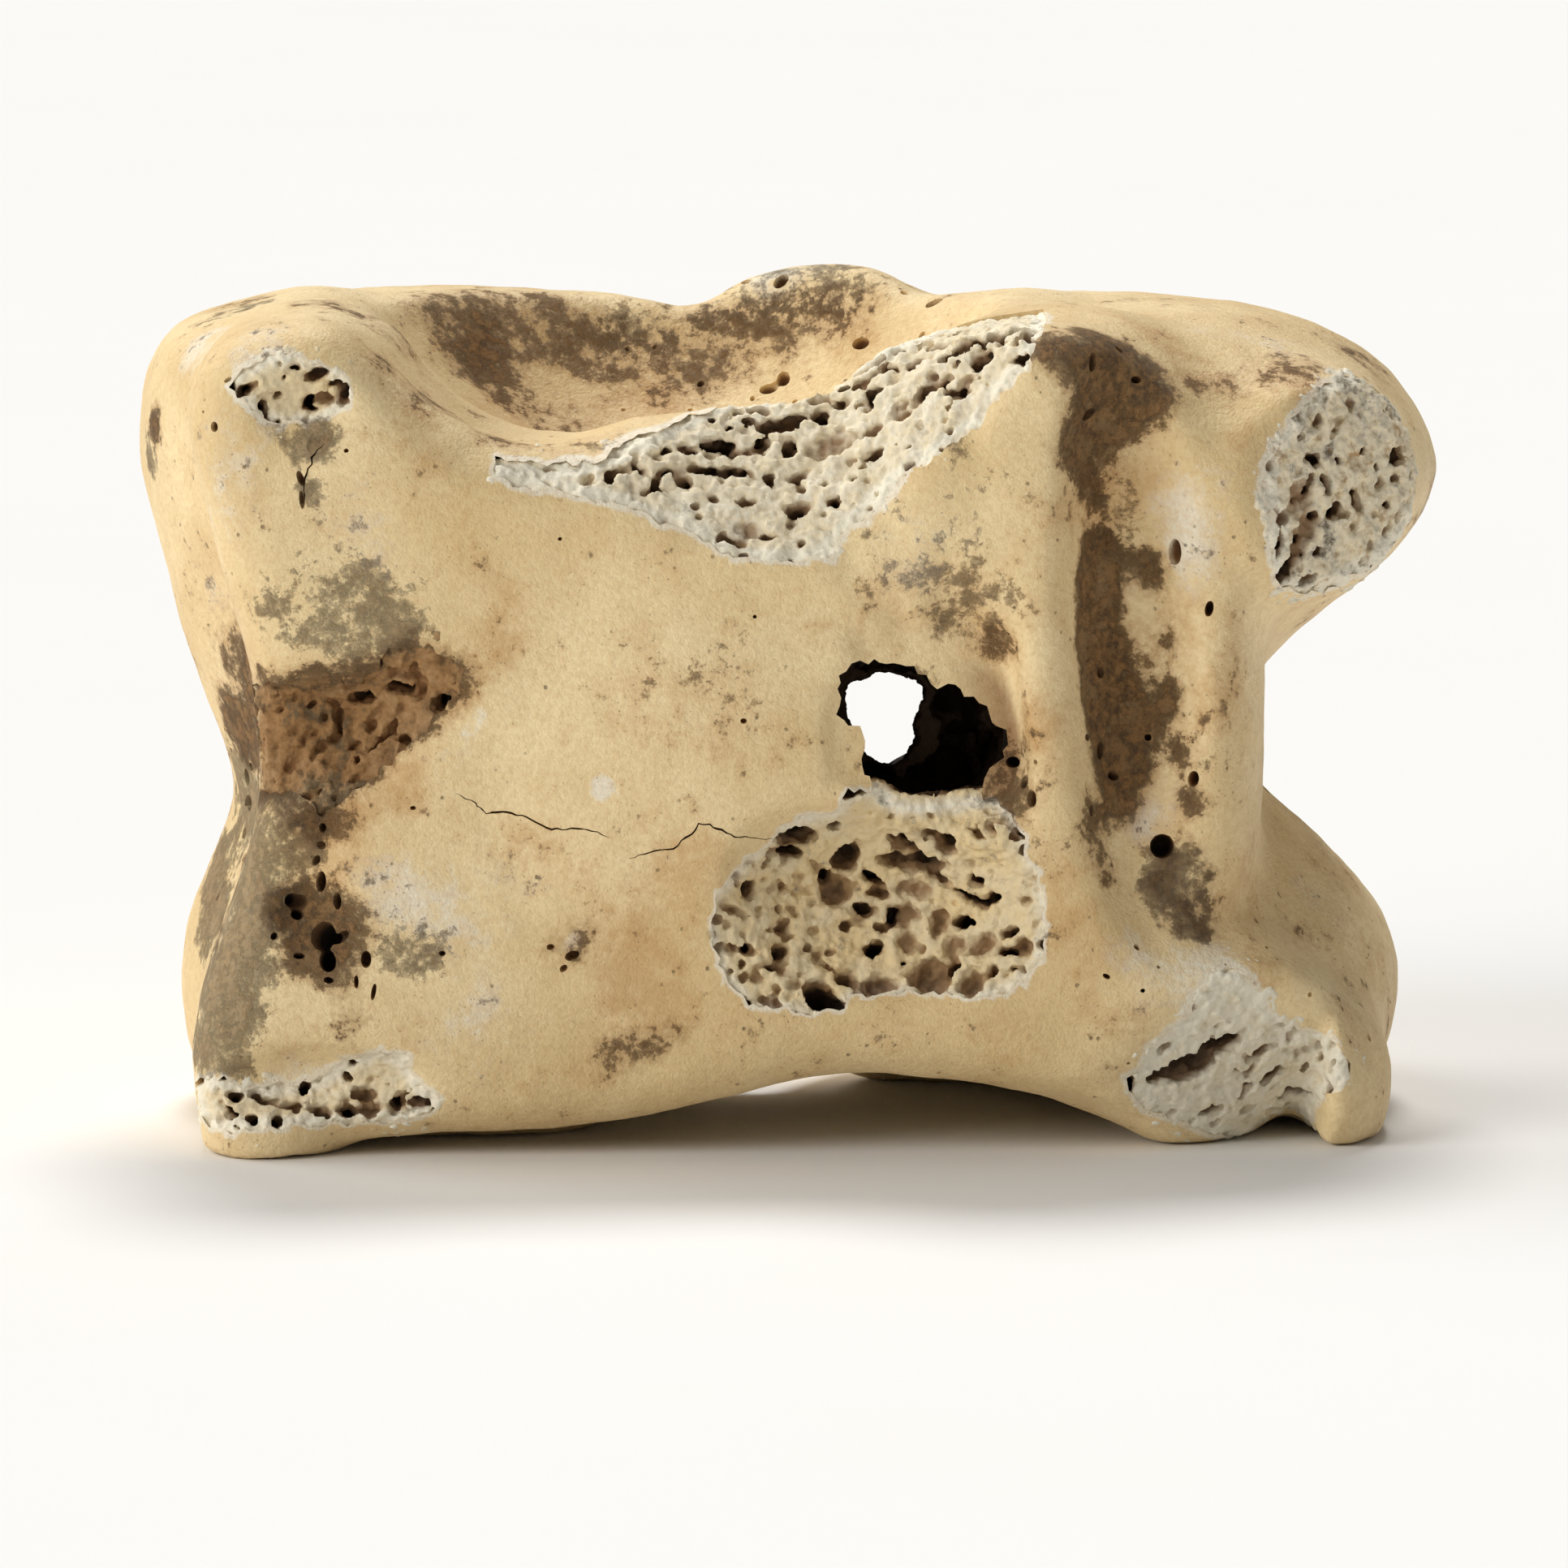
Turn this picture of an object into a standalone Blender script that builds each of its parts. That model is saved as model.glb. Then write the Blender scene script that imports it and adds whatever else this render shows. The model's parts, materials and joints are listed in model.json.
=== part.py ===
"""A sheep's knucklebone, the left ankle bone called the talus, worn and holed, lying on its inner side.

Sizes below are in millimetres and become metres where a mesh is made.
X runs along the bone, with the ankle end at +X and the foot end at -X.
Y runs through it, with the heel face at -Y. Z is up, from the inner side to the outer side.
The drawing frame has its zero below the middle of the heel face; the last step moves the bone so that the
middle of its footprint is at the origin and the flats that it rests on are at Z = 0.
"""

import math

import bmesh
import bpy
from mathutils import Euler, Matrix, Vector

MM = 0.001

# Driving dimensions. The greatest length is from one pulley's outer ridge to the other's: about 30.7.
ANKLE_AXIS = Vector((7.0, 0.8, 0.0))
ANKLE_RIDGE_RADIUS = 8.35
FOOT_AXIS = Vector((-8.0, 0.5, 0.0))
FOOT_RIDGE_RADIUS = 7.45
PULLEY_TOP = 18.7
HEEL_FACE_Y = -8.0
CORE_BACK_Y = 2.4
RESTING_LEVEL = -0.45
PIERCED_HOLE_MOUTH_RADII = (2.25, 1.95)
PIERCED_HOLE_BACK_RADII = (1.5, 1.5)
BREAK_SLOPE = 1.5

# How finely the bone is meshed
TURN_STEPS = 72
CURVE_STEPS = 4
TUNNEL_SIDES = 28
VOXEL = 0.34
SMOOTH_PASSES = 9
MOST_TRIANGLES = 8200

BONE_COLOUR = (0.67, 0.51, 0.29, 1.0)
BONE_ROUGHNESS = 0.62


def clear_scene():
    for old in list(bpy.data.objects):
        bpy.data.objects.remove(old)


def flowing(points, closed):
    """Points along a smooth curve through the given ones, CURVE_STEPS to a span."""
    count = len(points)
    spans = count if closed else count - 1
    curve = []
    for span in range(spans):
        if closed:
            before, start, end, after = (Vector(points[(span + k) % count]) for k in (-1, 0, 1, 2))
        else:
            start, end = Vector(points[span]), Vector(points[span + 1])
            before = Vector(points[max(span - 1, 0)])
            after = Vector(points[min(span + 2, count - 1)])
        for step in range(CURVE_STEPS):
            t = step / CURVE_STEPS
            curve.append(
                0.5
                * (
                    2 * start
                    + (end - before) * t
                    + (2 * before - 5 * start + 4 * end - after) * t**2
                    + (3 * start - before - 3 * end + after) * t**3
                )
            )
    if not closed:
        curve.append(Vector(points[-1]))
    return curve


def as_object(name, mesh_builder, helper=True):
    """An object that holds the bmesh, scaled from millimetres to metres. A helper isn't part of the model."""
    bmesh.ops.recalc_face_normals(mesh_builder, faces=mesh_builder.faces)
    bmesh.ops.scale(mesh_builder, vec=Vector((MM, MM, MM)), verts=mesh_builder.verts)
    mesh = bpy.data.meshes.new(name)
    mesh_builder.to_mesh(mesh)
    mesh_builder.free()
    made = bpy.data.objects.new(name, mesh)
    bpy.context.scene.collection.objects.link(made)
    if helper:
        made.hide_render = True
        made.display_type = "WIRE"
    return made


def pulley(name, axis, profile):
    """A pulley turned round an upright axis from (height, radius) points."""
    bm = bmesh.new()
    curve = flowing(profile, closed=False)
    wire = [bm.verts.new((axis.x + max(radius, 0.0), axis.y, height)) for height, radius in curve]
    edges = [bm.edges.new(pair) for pair in zip(wire, wire[1:])]
    bmesh.ops.spin(bm, geom=wire + edges, cent=axis, axis=(0, 0, 1), angle=2 * math.pi, steps=TURN_STEPS)
    bmesh.ops.remove_doubles(bm, verts=bm.verts, dist=0.001)
    return as_object(name, bm)


def slab(name, outline, front_y, back_y, rise_per_mm=0.0, rounded=0.0):
    """An outline of (x, z) points in the heel face's plane, extruded from front_y to back_y.

    It climbs by rise_per_mm in Z for each millimetre that it goes back.
    """
    bm = bmesh.new()
    curve = flowing(outline, closed=True)
    start_rise = (front_y - HEEL_FACE_Y) * rise_per_mm
    face = bm.faces.new([bm.verts.new((x, front_y, z + start_rise)) for x, z in curve])
    pushed = bmesh.ops.extrude_face_region(bm, geom=[face])["geom"]
    moved = [v for v in pushed if isinstance(v, bmesh.types.BMVert)]
    run = back_y - front_y
    bmesh.ops.translate(bm, vec=Vector((0.0, run, run * rise_per_mm)), verts=moved)
    if rounded:
        front_rim = [e for e in bm.edges if all(abs(v.co.y - front_y) < 1e-6 for v in e.verts)]
        bmesh.ops.bevel(bm, geom=front_rim, offset=rounded, segments=4, affect="EDGES", profile=0.5)
    bmesh.ops.triangulate(bm, faces=[f for f in bm.faces if len(f.verts) > 4])
    return as_object(name, bm)


def pebble(name, centre, radii, turned_deg=(0.0, 0.0, 0.0)):
    """An ellipsoid, turned by XYZ angles."""
    bm = bmesh.new()
    bmesh.ops.create_icosphere(bm, subdivisions=4, radius=1.0)
    turn = Euler([math.radians(a) for a in turned_deg]).to_matrix().to_4x4()
    bmesh.ops.transform(
        bm, matrix=Matrix.Translation(centre) @ turn @ Matrix.Diagonal((*radii, 1.0)), verts=bm.verts
    )
    return as_object(name, bm)


def plane_cutter(name, point, outward, width, height, depth):
    """A block with one face centred on point, lying on that face's outward side."""
    bm = bmesh.new()
    bmesh.ops.create_cube(bm, size=1.0)
    bmesh.ops.scale(bm, vec=Vector((width, height, depth)), verts=bm.verts)
    bmesh.ops.translate(bm, vec=Vector((0, 0, depth / 2)), verts=bm.verts)
    turn = Vector(outward).to_track_quat("Z", "Y").to_matrix().to_4x4()
    bmesh.ops.transform(bm, matrix=Matrix.Translation(point) @ turn, verts=bm.verts)
    return as_object(name, bm)


def tunnel(name, mouth, mouth_radii, back, back_radii):
    """A tapered tunnel between two upright ovals, each given by its centre and its radii in X and Z."""
    bm = bmesh.new()
    rims = []
    for centre, (across, up) in ((mouth, mouth_radii), (back, back_radii)):
        stretch = Matrix.Diagonal((across, 1.0, up, 1.0))
        upright = Matrix.Translation(centre) @ stretch @ Matrix.Rotation(math.pi / 2, 4, "X")
        oval = bmesh.ops.create_circle(bm, cap_ends=True, radius=1.0, segments=TUNNEL_SIDES, matrix=upright)
        rims.append([edge for edge in bm.edges if all(v in oval["verts"] for v in edge.verts)])
    bmesh.ops.bridge_loops(bm, edges=rims[0] + rims[1])
    return as_object(name, bm)


def cut(bone, cutter):
    """Cuts with the solver for closed meshes: the exact one tears a few edges of these smooth skins."""
    step = bone.modifiers.new(f"cut {cutter.name}", "BOOLEAN")
    step.object = cutter
    step.operation = "DIFFERENCE"
    step.solver = "MANIFOLD"


def joined(name, pieces):
    """One object that holds the faces of all the pieces, still overlapping."""
    bm = bmesh.new()
    for piece in pieces:
        bm.from_mesh(piece.data)
    mesh = bpy.data.meshes.new(name)
    bm.to_mesh(mesh)
    bm.free()
    made = bpy.data.objects.new(name, mesh)
    bpy.context.scene.collection.objects.link(made)
    return made


def skin(bone):
    """Covers everything with one even closed mesh."""
    step = bone.modifiers.new("even mesh", "REMESH")
    step.mode = "VOXEL"
    step.voxel_size = VOXEL * MM


def core_of_the_bone():
    """The block between the two pulleys, with the outline that the heel face shows."""
    outline = (
        (-13.3, 18.4),
        (-12.0, 18.9),
        (-10.7, 19.0),
        (-9.7, 18.4),
        (-8.6, 17.0),
        (-6.9, 16.1),
        (-4.4, 16.0),
        (-1.8, 17.0),
        (0.6, 18.0),
        (3.2, 18.6),
        (5.8, 18.9),
        (7.6, 18.3),
        (8.7, 16.0),
        (8.9, 12.0),
        (8.9, 7.0),
        (9.6, 3.0),
        (9.4, 0.4),
        (7.0, 0.7),
        (3.6, 1.2),
        (0.6, 1.3),
        (-1.9, 0.6),
        (-5.0, 0.1),
        (-9.0, -0.1),
        (-11.6, -0.5),
        (-13.0, -1.0),
        (-13.9, 0.8),
        (-13.8, 3.0),
        (-12.9, 5.6),
        (-12.3, 8.0),
        (-12.6, 11.0),
        (-13.4, 14.0),
        (-14.0, 16.8),
    )
    return slab("core", outline, HEEL_FACE_Y, CORE_BACK_Y, rounded=1.3)


def ankle_pulley():
    """The deep pulley at the ankle end: a low inner ridge, the groove, and the high outer ridge."""
    profile = (
        (0.2, 0.0),
        (-0.1, 2.6),
        (-0.85, 4.9),
        (-0.3, 6.3),
        (0.9, 7.25),
        (2.6, 7.55),
        (4.0, 7.15),
        (5.3, 6.15),
        (6.4, 4.95),
        (7.5, 3.85),
        (8.7, 3.6),
        (10.0, 4.2),
        (11.2, 5.4),
        (12.4, 6.9),
        (13.5, 7.9),
        (14.7, ANKLE_RIDGE_RADIUS),
        (16.0, 7.95),
        (17.2, 7.0),
        (18.1, 5.5),
        (18.6, 3.2),
        (PULLEY_TOP, 0.0),
    )
    return pulley("ankle_pulley", ANKLE_AXIS, profile)


def foot_pulley():
    """The shallow pulley at the foot end."""
    profile = (
        (0.2, 0.0),
        (-0.1, 2.3),
        (-0.85, 4.3),
        (-0.3, 5.6),
        (0.9, 6.35),
        (2.6, 6.55),
        (4.0, 6.35),
        (5.3, 5.85),
        (6.4, 5.35),
        (7.4, 5.2),
        (8.4, 5.5),
        (9.6, 6.0),
        (11.0, 6.5),
        (12.6, 6.8),
        (14.4, 7.3),
        (16.0, FOOT_RIDGE_RADIUS),
        (17.3, 7.2),
        (18.2, 6.5),
        (18.6, 4.8),
        (PULLEY_TOP, 2.5),
        (PULLEY_TOP, 0.0),
    )
    return pulley("foot_pulley", FOOT_AXIS, profile)


def added_swellings():
    """Bosses and ridges that the block and the pulleys don't give."""
    return (
        pebble("heel_facet_swell", (-2.2, -3.6, 8.6), (9.6, 5.0, 9.0)),
        pebble("outer_shoulder", (6.5, -3.4, 15.3), (4.2, 4.7, 3.75)),
        pebble("groove_lip", (9.7, -3.2, 10.0), (1.45, 3.7, 7.6)),
        pebble("inner_knob", (10.2, -4.7, 1.8), (3.1, 4.2, 2.85), (0, 30, 0)),
        pebble("inner_corner", (12.8, -3.3, 0.8), (1.4, 3.5, 2.3)),
        pebble("outer_ridge_end", (11.4, -3.0, 14.9), (3.3, 4.1, 3.0)),
        pebble("outer_ridge_front", (0.7, 3.6, 17.2), (3.2, 3.2, 2.15)),
        pebble("outer_rim_bridge", (-2.6, 2.9, 15.8), (4.2, 2.7, 2.6)),
        pebble("neck", (-1.0, 0.0, 10.5), (6.5, 4.4, 7.2)),
        pebble("foot_end_corner", (-12.2, -6.5, 0.1), (1.7, 1.9, 1.4)),
    )


def hollows():
    """The natural hollows, cut before the bone is smoothed."""
    return (
        pebble("outer_side_scoop", (-2.5, -1.3, 21.0), (7.8, 5.6, 6.2)),
        pebble("outer_side_scoop_mouth", (-5.9, -5.6, 20.3), (3.9, 5.4, 4.3)),
        pebble("inner_side_hollow", (1.8, -4.0, -9.9), (11.6, 13.0, 11.5)),
        pebble("front_fossa", (-0.6, 8.2, 8.2), (4.0, 5.0, 6.0), (0, 12, 0)),
        pebble("heel_valley", (8.05, -9.8, 12.0), (2.1, 4.1, 9.2), (0, -3, 0)),
        pebble("heel_valley_foot", (8.8, -9.3, 6.2), (1.6, 2.7, 2.9)),
        pebble("foot_end_pit", (-11.8, -9.4, 9.4), (5.0, 2.6, 1.9), (0, -14, 0)),
        pebble("foot_end_pit_tail", (-11.2, -9.2, 6.0), (1.1, 1.9, 2.6)),
    )


def worn_places():
    """Breaks and ground-down places, cut sharp after the bone is smoothed."""
    shoulder_break = (
        (-8.0, 15.8),
        (-4.6, 15.0),
        (-1.8, 13.9),
        (0.0, 13.45),
        (1.3, 13.8),
        (3.2, 15.7),
        (5.0, 17.3),
        (5.9, 19.3),
        (6.0, 24.0),
        (-2.0, 24.0),
        (-9.0, 22.0),
    )
    return (
        slab("shoulder_break", shoulder_break, -10.0, -2.0, rise_per_mm=BREAK_SLOPE),
        tunnel(
            "pierced_hole", (3.6, -9.6, 9.4), PIERCED_HOLE_MOUTH_RADII, (1.5, 4.8, 8.8), PIERCED_HOLE_BACK_RADII
        ),
        pebble("break_below_hole", (2.2, -10.3, 5.5), (4.7, 3.5, 3.2), (0, 8, 0)),
        plane_cutter("knob_break", (9.8, -6.95, 1.8), (0.34, -0.875, -0.35), 5.4, 6.2, 4.0),
        plane_cutter("ridge_break", (13.9, -4.35, 15.2), (0.58, -0.81, 0.06), 12.0, 7.4, 5.0),
        pebble("foot_end_edge_break", (-10.8, -8.7, 1.45), (3.1, 1.4, 0.95)),
        pebble("upper_foot_end_break", (-11.2, -9.2, 17.1), (1.9, 1.7, 1.2)),
    )


def resting_cut():
    """The flats that the bone rests on."""
    return plane_cutter("resting_level", (0, 0, RESTING_LEVEL), (0, 0, -1), 60.0, 60.0, 20.0)


def settle(bone):
    """Applies the modifiers so far, so that the next ones start from a plain mesh."""
    graph = bpy.context.evaluated_depsgraph_get()
    mesh = bpy.data.meshes.new_from_object(bone.evaluated_get(graph))
    bone.modifiers.clear()
    bone.data = mesh


def triangle_count(mesh):
    mesh.calc_loop_triangles()
    return len(mesh.loop_triangles)


def build_bone():
    bone = joined("knucklebone", (core_of_the_bone(), ankle_pulley(), foot_pulley(), *added_swellings()))
    skin(bone)
    settle(bone)
    for hollow in hollows():
        cut(bone, hollow)
    skin(bone)
    smooth = bone.modifiers.new("soften joins", "SMOOTH")
    smooth.factor = 0.5
    smooth.iterations = SMOOTH_PASSES
    settle(bone)

    for worn in worn_places():
        cut(bone, worn)
    settle(bone)

    thin_out = bone.modifiers.new("thin out", "DECIMATE")
    thin_out.ratio = min(1.0, MOST_TRIANGLES / triangle_count(bone.data))
    thin_out.use_collapse_triangulate = True
    cut(bone, resting_cut())
    settle(bone)
    return bone


def place_on_origin(bone):
    """Puts the middle of the bone's box over the origin, with its lowest points at Z = 0."""
    low = Vector([min(v.co[axis] for v in bone.data.vertices) for axis in range(3)])
    high = Vector([max(v.co[axis] for v in bone.data.vertices) for axis in range(3)])
    shift = Vector((-(low.x + high.x) / 2, -(low.y + high.y) / 2, -low.z))
    bone.data.transform(Matrix.Translation(shift))


def finish_surface(bone):
    material = bpy.data.materials.new("old_bone")
    material.use_nodes = True
    shader = material.node_tree.nodes["Principled BSDF"]
    shader.inputs["Base Color"].default_value = BONE_COLOUR
    shader.inputs["Roughness"].default_value = BONE_ROUGHNESS
    shader.inputs["Metallic"].default_value = 0.0
    bone.data.materials.clear()
    bone.data.materials.append(material)
    bone.data.shade_smooth()
    bone.data.set_sharp_from_angle(angle=math.radians(40))


def main():
    clear_scene()
    bone = build_bone()
    for helper in [o for o in bpy.data.objects if o.hide_render]:
        bpy.data.objects.remove(helper)
    place_on_origin(bone)
    finish_surface(bone)
    return bone


main()
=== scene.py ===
"""An old knucklebone: the worn ankle bone of a sheep, lying on its inner side on a pale studio table.

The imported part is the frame. The bone's skin is a finer copy of it, with real cracks, pits and a
ragged hole. Each break in the skin shows a separate piece of spongy bone, whose pores are cut as
real holes.
"""

import json
import math
import random
from collections import namedtuple
from contextlib import contextmanager

import bpy
import numpy as np
from bpy.props import FloatProperty, FloatVectorProperty, IntProperty, PointerProperty
from mathutils import Matrix, Vector
from mathutils.bvhtree import BVHTree

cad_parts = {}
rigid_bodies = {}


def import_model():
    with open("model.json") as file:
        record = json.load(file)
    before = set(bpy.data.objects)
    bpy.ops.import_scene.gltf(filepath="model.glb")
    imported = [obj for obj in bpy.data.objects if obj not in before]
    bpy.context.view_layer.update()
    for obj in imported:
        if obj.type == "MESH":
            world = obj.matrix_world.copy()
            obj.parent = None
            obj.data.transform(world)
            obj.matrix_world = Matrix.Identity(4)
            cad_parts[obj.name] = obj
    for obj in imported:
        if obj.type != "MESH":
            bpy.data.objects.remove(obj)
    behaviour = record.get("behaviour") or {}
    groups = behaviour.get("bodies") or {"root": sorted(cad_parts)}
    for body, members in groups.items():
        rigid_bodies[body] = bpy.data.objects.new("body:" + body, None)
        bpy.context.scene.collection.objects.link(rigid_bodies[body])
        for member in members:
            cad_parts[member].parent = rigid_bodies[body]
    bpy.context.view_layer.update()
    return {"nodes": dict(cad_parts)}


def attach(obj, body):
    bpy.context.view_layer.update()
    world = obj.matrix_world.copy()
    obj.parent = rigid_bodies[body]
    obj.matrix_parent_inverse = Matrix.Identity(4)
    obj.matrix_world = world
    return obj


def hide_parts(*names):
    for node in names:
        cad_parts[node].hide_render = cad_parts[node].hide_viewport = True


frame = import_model()

bl_info = {
    "name": "Old Knucklebone",
    "version": (1, 0, 0),
    "blender": (4, 5, 0),
    "location": "3D View > Sidebar > Bone",
    "description": "A worn sheep knucklebone with spongy breaks, on a pale studio table",
    "category": "Add Mesh",
}

NODE = "knucklebone"
# The shapes are made in millimetres, and each finished piece is brought down to metres.
MM = 0.001
MOST_TRIANGLES = 192000
SPONGE_TRIANGLES = 150000
# How coarse the voxels are that join or round off the shapes, in millimetres.
BLOCK_GRAIN = 0.09
PORE_GRAIN = 0.05
LINING_GRAIN = 0.1
LINING_PORE_GRAIN = 0.07
HOLE_PORE_GRAIN = 0.09
PIT_GRAIN = 0.045
# Faces that meet at less than this angle are shaded as one smooth surface.
SMOOTH_DEG = 50

# Where the eye is, in millimetres, and the level of the heel face that looks towards it.
EYE = Vector((-0.1, -305.58, 50.6))
EYE_TARGET = Vector((-0.1, -8.5, 8.85))
HEEL_FACE = -8.24
LENS_MM = 298.5
SENSOR_MM = 36.0
# The hole's axis, from near its front mouth to near its back mouth.
HOLE_START = Vector((3.25, -5.6, 9.55))
HOLE_END = Vector((1.9, 3.5, 9.2))
HOLE_PORES = 130
# The plug that closes its packed mouth, and the ring of skin that the plug lies level with.
MOUTH_MIDDLE = (3.2, 10.1)
MOUTH_FILL_RADIUS = 2.45
MOUTH_RING_RADIUS = 3.2
MOUTH_CORNERS = 28
# How far behind the heel face the ragged mouth is cut from, as lie_of gives it.
MOUTH_LIE = (0.6, 0.0, 0.0)
# The lining that narrows the hole: its radius, its share of the hole's length, and its tries at a pore.
LINING_RADIUS = 2.7
LINING_SHARE = 0.36
LINING_TRIES = 260
# How far from its middle a stain reaches, in radii.
STAIN_REACH = 1.45
FAR_STAIN_REACH = 1.25
# The lamps: name, the side the light comes from, strength, softness in degrees and colour.
SOFT_WHITE = (1.0, 0.99, 0.97)
LAMPS = (
    ("left_light", (-0.75, -0.5, 0.44), 1.5, 34, SOFT_WHITE),
    ("far_left_light", (-0.74, 0.28, 0.61), 1.0, 36, SOFT_WHITE),
    ("back_light", (0.02, 0.46, 0.86), 1.85, 18, (1.0, 1.0, 1.0)),
)
ROOM_LIGHT = 0.21
TABLE_WIDTH_M = 4.0
LAMP_DISTANCE_M = 0.3
# Seeds of the random draws that belong to no break, and how many points a lie is fitted to.
LIE_SEED = 7
LIE_POINTS = 160
HOLE_PORES_SEED = 41
MOUTH_SEED = 51
CRACKS_SEED = 60
OPENING_SEED = 71
LINING_SEED = 72
FAR_PITS_SEED = 83
# How far a block of spongy bone reaches past its break, and how far plugs stand out of the skin.
ROOM_MARGIN = 0.4
ROOM_FRONT = 2.5
RECESS_FRONT = 2.2
MOUTH_FRONT = 3.0
MOUTH_DEPTH = 2.4

# Places on the skin are given as (across, up) in millimetres, as the eye sees them against the heel face.
SHOULDER_OUTLINE = (
    (-6.75, 16.43), (-5.82, 16.28), (-4.98, 16.21), (-4.23, 16.43), (-3.39, 16.81), (-2.64, 17.22),
    (-1.33, 17.82), (-0.21, 18.35), (0.91, 18.57), (2.03, 18.8), (2.77, 19.29), (3.52, 19.6),
    (4.45, 19.89), (5.2, 20.11), (5.66, 20.04), (5.89, 19.62), (5.76, 19.1), (5.54, 18.44),
    (5.01, 17.94), (4.55, 17.32), (3.99, 16.85), (3.34, 16.43), (2.59, 15.91), (2.12, 15.49),
    (1.66, 14.97), (1.19, 14.46), (0.82, 14.08), (0.26, 13.95), (-0.59, 14.02), (-1.33, 13.99),
    (-1.89, 14.33), (-2.55, 14.78), (-3.2, 14.97), (-3.95, 15.31), (-4.7, 15.49), (-5.44, 15.66),
    (-6.19, 15.76), (-6.83, 15.98),
)
SHOULDER_UPPER = (
    (-4.2, 16.2), (-2.6, 17.1), (-0.2, 18.3), (2, 18.7), (3.5, 19.5), (5.2, 19.9), (5.8, 19.6),
    (5.5, 18.5), (3.9, 18), (2, 17.5), (0.2, 16.8), (-1.7, 15.9), (-3.2, 15.5),
)
SHOULDER_LOWER = (
    (-1.7, 15.9), (0.2, 16.8), (2, 17.5), (3.9, 18), (5.3, 18.4), (4.5, 17.3), (3.3, 16.4), (2.1, 15.5),
    (1.2, 14.5), (0.3, 14), (-1.3, 14), (-2.8, 15),
)
BELOW_HOLE_OUTLINE = (
    (-0.21, 7.79), (0.35, 7.98), (1.1, 8.17), (1.38, 8.64), (1.94, 8.64), (2.6, 8.26), (3.35, 8.26),
    (4.1, 8.36), (4.66, 8.45), (5.13, 8.11), (5.45, 7.41), (5.79, 6.65), (5.89, 5.89), (5.93, 5.33),
    (5.83, 4.66), (5.42, 4.28), (4.95, 3.96), (3.92, 3.84), (2.79, 3.96), (1.67, 3.96), (1.29, 3.61),
    (0.54, 3.39), (-0.21, 3.58), (-0.96, 3.61), (-1.25, 4.09), (-1.53, 4.47), (-1.75, 5.14),
    (-1.86, 5.7), (-1.71, 6.27), (-1.24, 6.75), (-0.78, 7.22),
)
BELOW_HOLE_GREY = (
    (-0.2, 7.6), (0.8, 7.2), (0.7, 5.8), (1.2, 4.6), (0.4, 3.8), (-0.9, 3.8), (-1.8, 5.2), (-1.6, 6.4),
)
HOLE_OUTLINE = (
    (1.21, 11.01), (1.32, 11.46), (1.66, 11.67), (2.13, 11.8), (2.6, 11.69), (3.06, 11.5), (3.53, 11.2),
    (4.09, 10.9), (4.56, 10.6), (4.94, 10.25), (5.13, 9.9), (5.03, 9.4), (4.75, 8.9), (4.6, 8.25),
    (4.1, 7.9), (3.54, 7.85), (2.97, 7.8), (2.3, 8.0), (1.8, 8.45), (1.57, 9.05), (1.64, 9.59),
    (1.47, 10.06), (1.25, 10.44),
)
# The part of the hole that the eye sees right through.
OPENING_OUTLINE = (
    (1.23, 11.01), (1.38, 11.23), (1.7, 11.33), (1.94, 11.42), (2.41, 11.4), (2.88, 11.35),
    (3.12, 11.1), (3.08, 10.63), (2.99, 10.25), (2.95, 9.78), (2.75, 9.49), (2.49, 9.25), (2.22, 9.32),
    (1.94, 9.4), (1.66, 9.55), (1.55, 9.97), (1.4, 10.25), (1.25, 10.63),
)
FOOT_EDGE_OUTLINE = (
    (-13.75, 1.9), (-13.09, 1.94), (-12.44, 1.71), (-11.5, 1.81), (-10.74, 2), (-10.18, 2.38),
    (-9.42, 2.66), (-8.86, 2.38), (-8.58, 1.9), (-8.21, 1.52), (-8.3, 1.1), (-9.24, 0.91),
    (-10.37, 0.87), (-11.5, 0.78), (-12.63, 0.68), (-13.48, 0.76), (-13.79, 1.23),
)
KNOB_OUTLINE = (
    (7.87, 1.9), (8.43, 2.57), (9.09, 3.14), (9.56, 3.8), (9.74, 4.47), (10.12, 4.66), (10.59, 4.38),
    (10.87, 3.9), (11.44, 3.33), (12, 2.95), (12.66, 2.76), (12.95, 2.28), (12.86, 1.81), (12.39, 1.43),
    (11.92, 0.85), (11.45, 0.53), (10.51, 0.43), (9.57, 0.68), (8.82, 1.06), (8.06, 1.43),
)
LOBE_OUTLINE = (
    (11.18, 16.75), (11.74, 17.5), (12.48, 18.16), (13.41, 18.5), (14.16, 18.31), (14.69, 17.5),
    (14.88, 16.47), (14.74, 15.53), (14.33, 14.78), (13.62, 14.06), (12.69, 13.46), (11.95, 13.21),
    (11.38, 13.38), (11.16, 14.02), (11.28, 14.78), (11, 15.72), (11.03, 16.28),
)
FOOT_CORNER_OUTLINE = (
    (-12.85, 18.01), (-12.53, 18.44), (-11.97, 18.69), (-11.22, 18.72), (-10.57, 18.54), (-10.1, 18.16),
    (-10.14, 17.6), (-10.67, 17.32), (-11.23, 17.22), (-11.69, 17.13), (-12.07, 17.41), (-12.53, 17.75),
)
CRUST_OUTLINE = (
    (-14.5, 11.1), (-13.8, 11.3), (-12.8, 11.2), (-12, 11.2), (-10.9, 11), (-9.9, 11.2), (-9.2, 11.9),
    (-8.3, 12.1), (-7.5, 11.5), (-7.6, 10.9), (-8.3, 10.2), (-9.2, 9.3), (-10.1, 8.5), (-10.6, 8.3),
    (-11.3, 8.5), (-12, 8.6), (-12.8, 8.8), (-13.6, 9), (-14.2, 9.8), (-14.5, 10.4),
)

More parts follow.
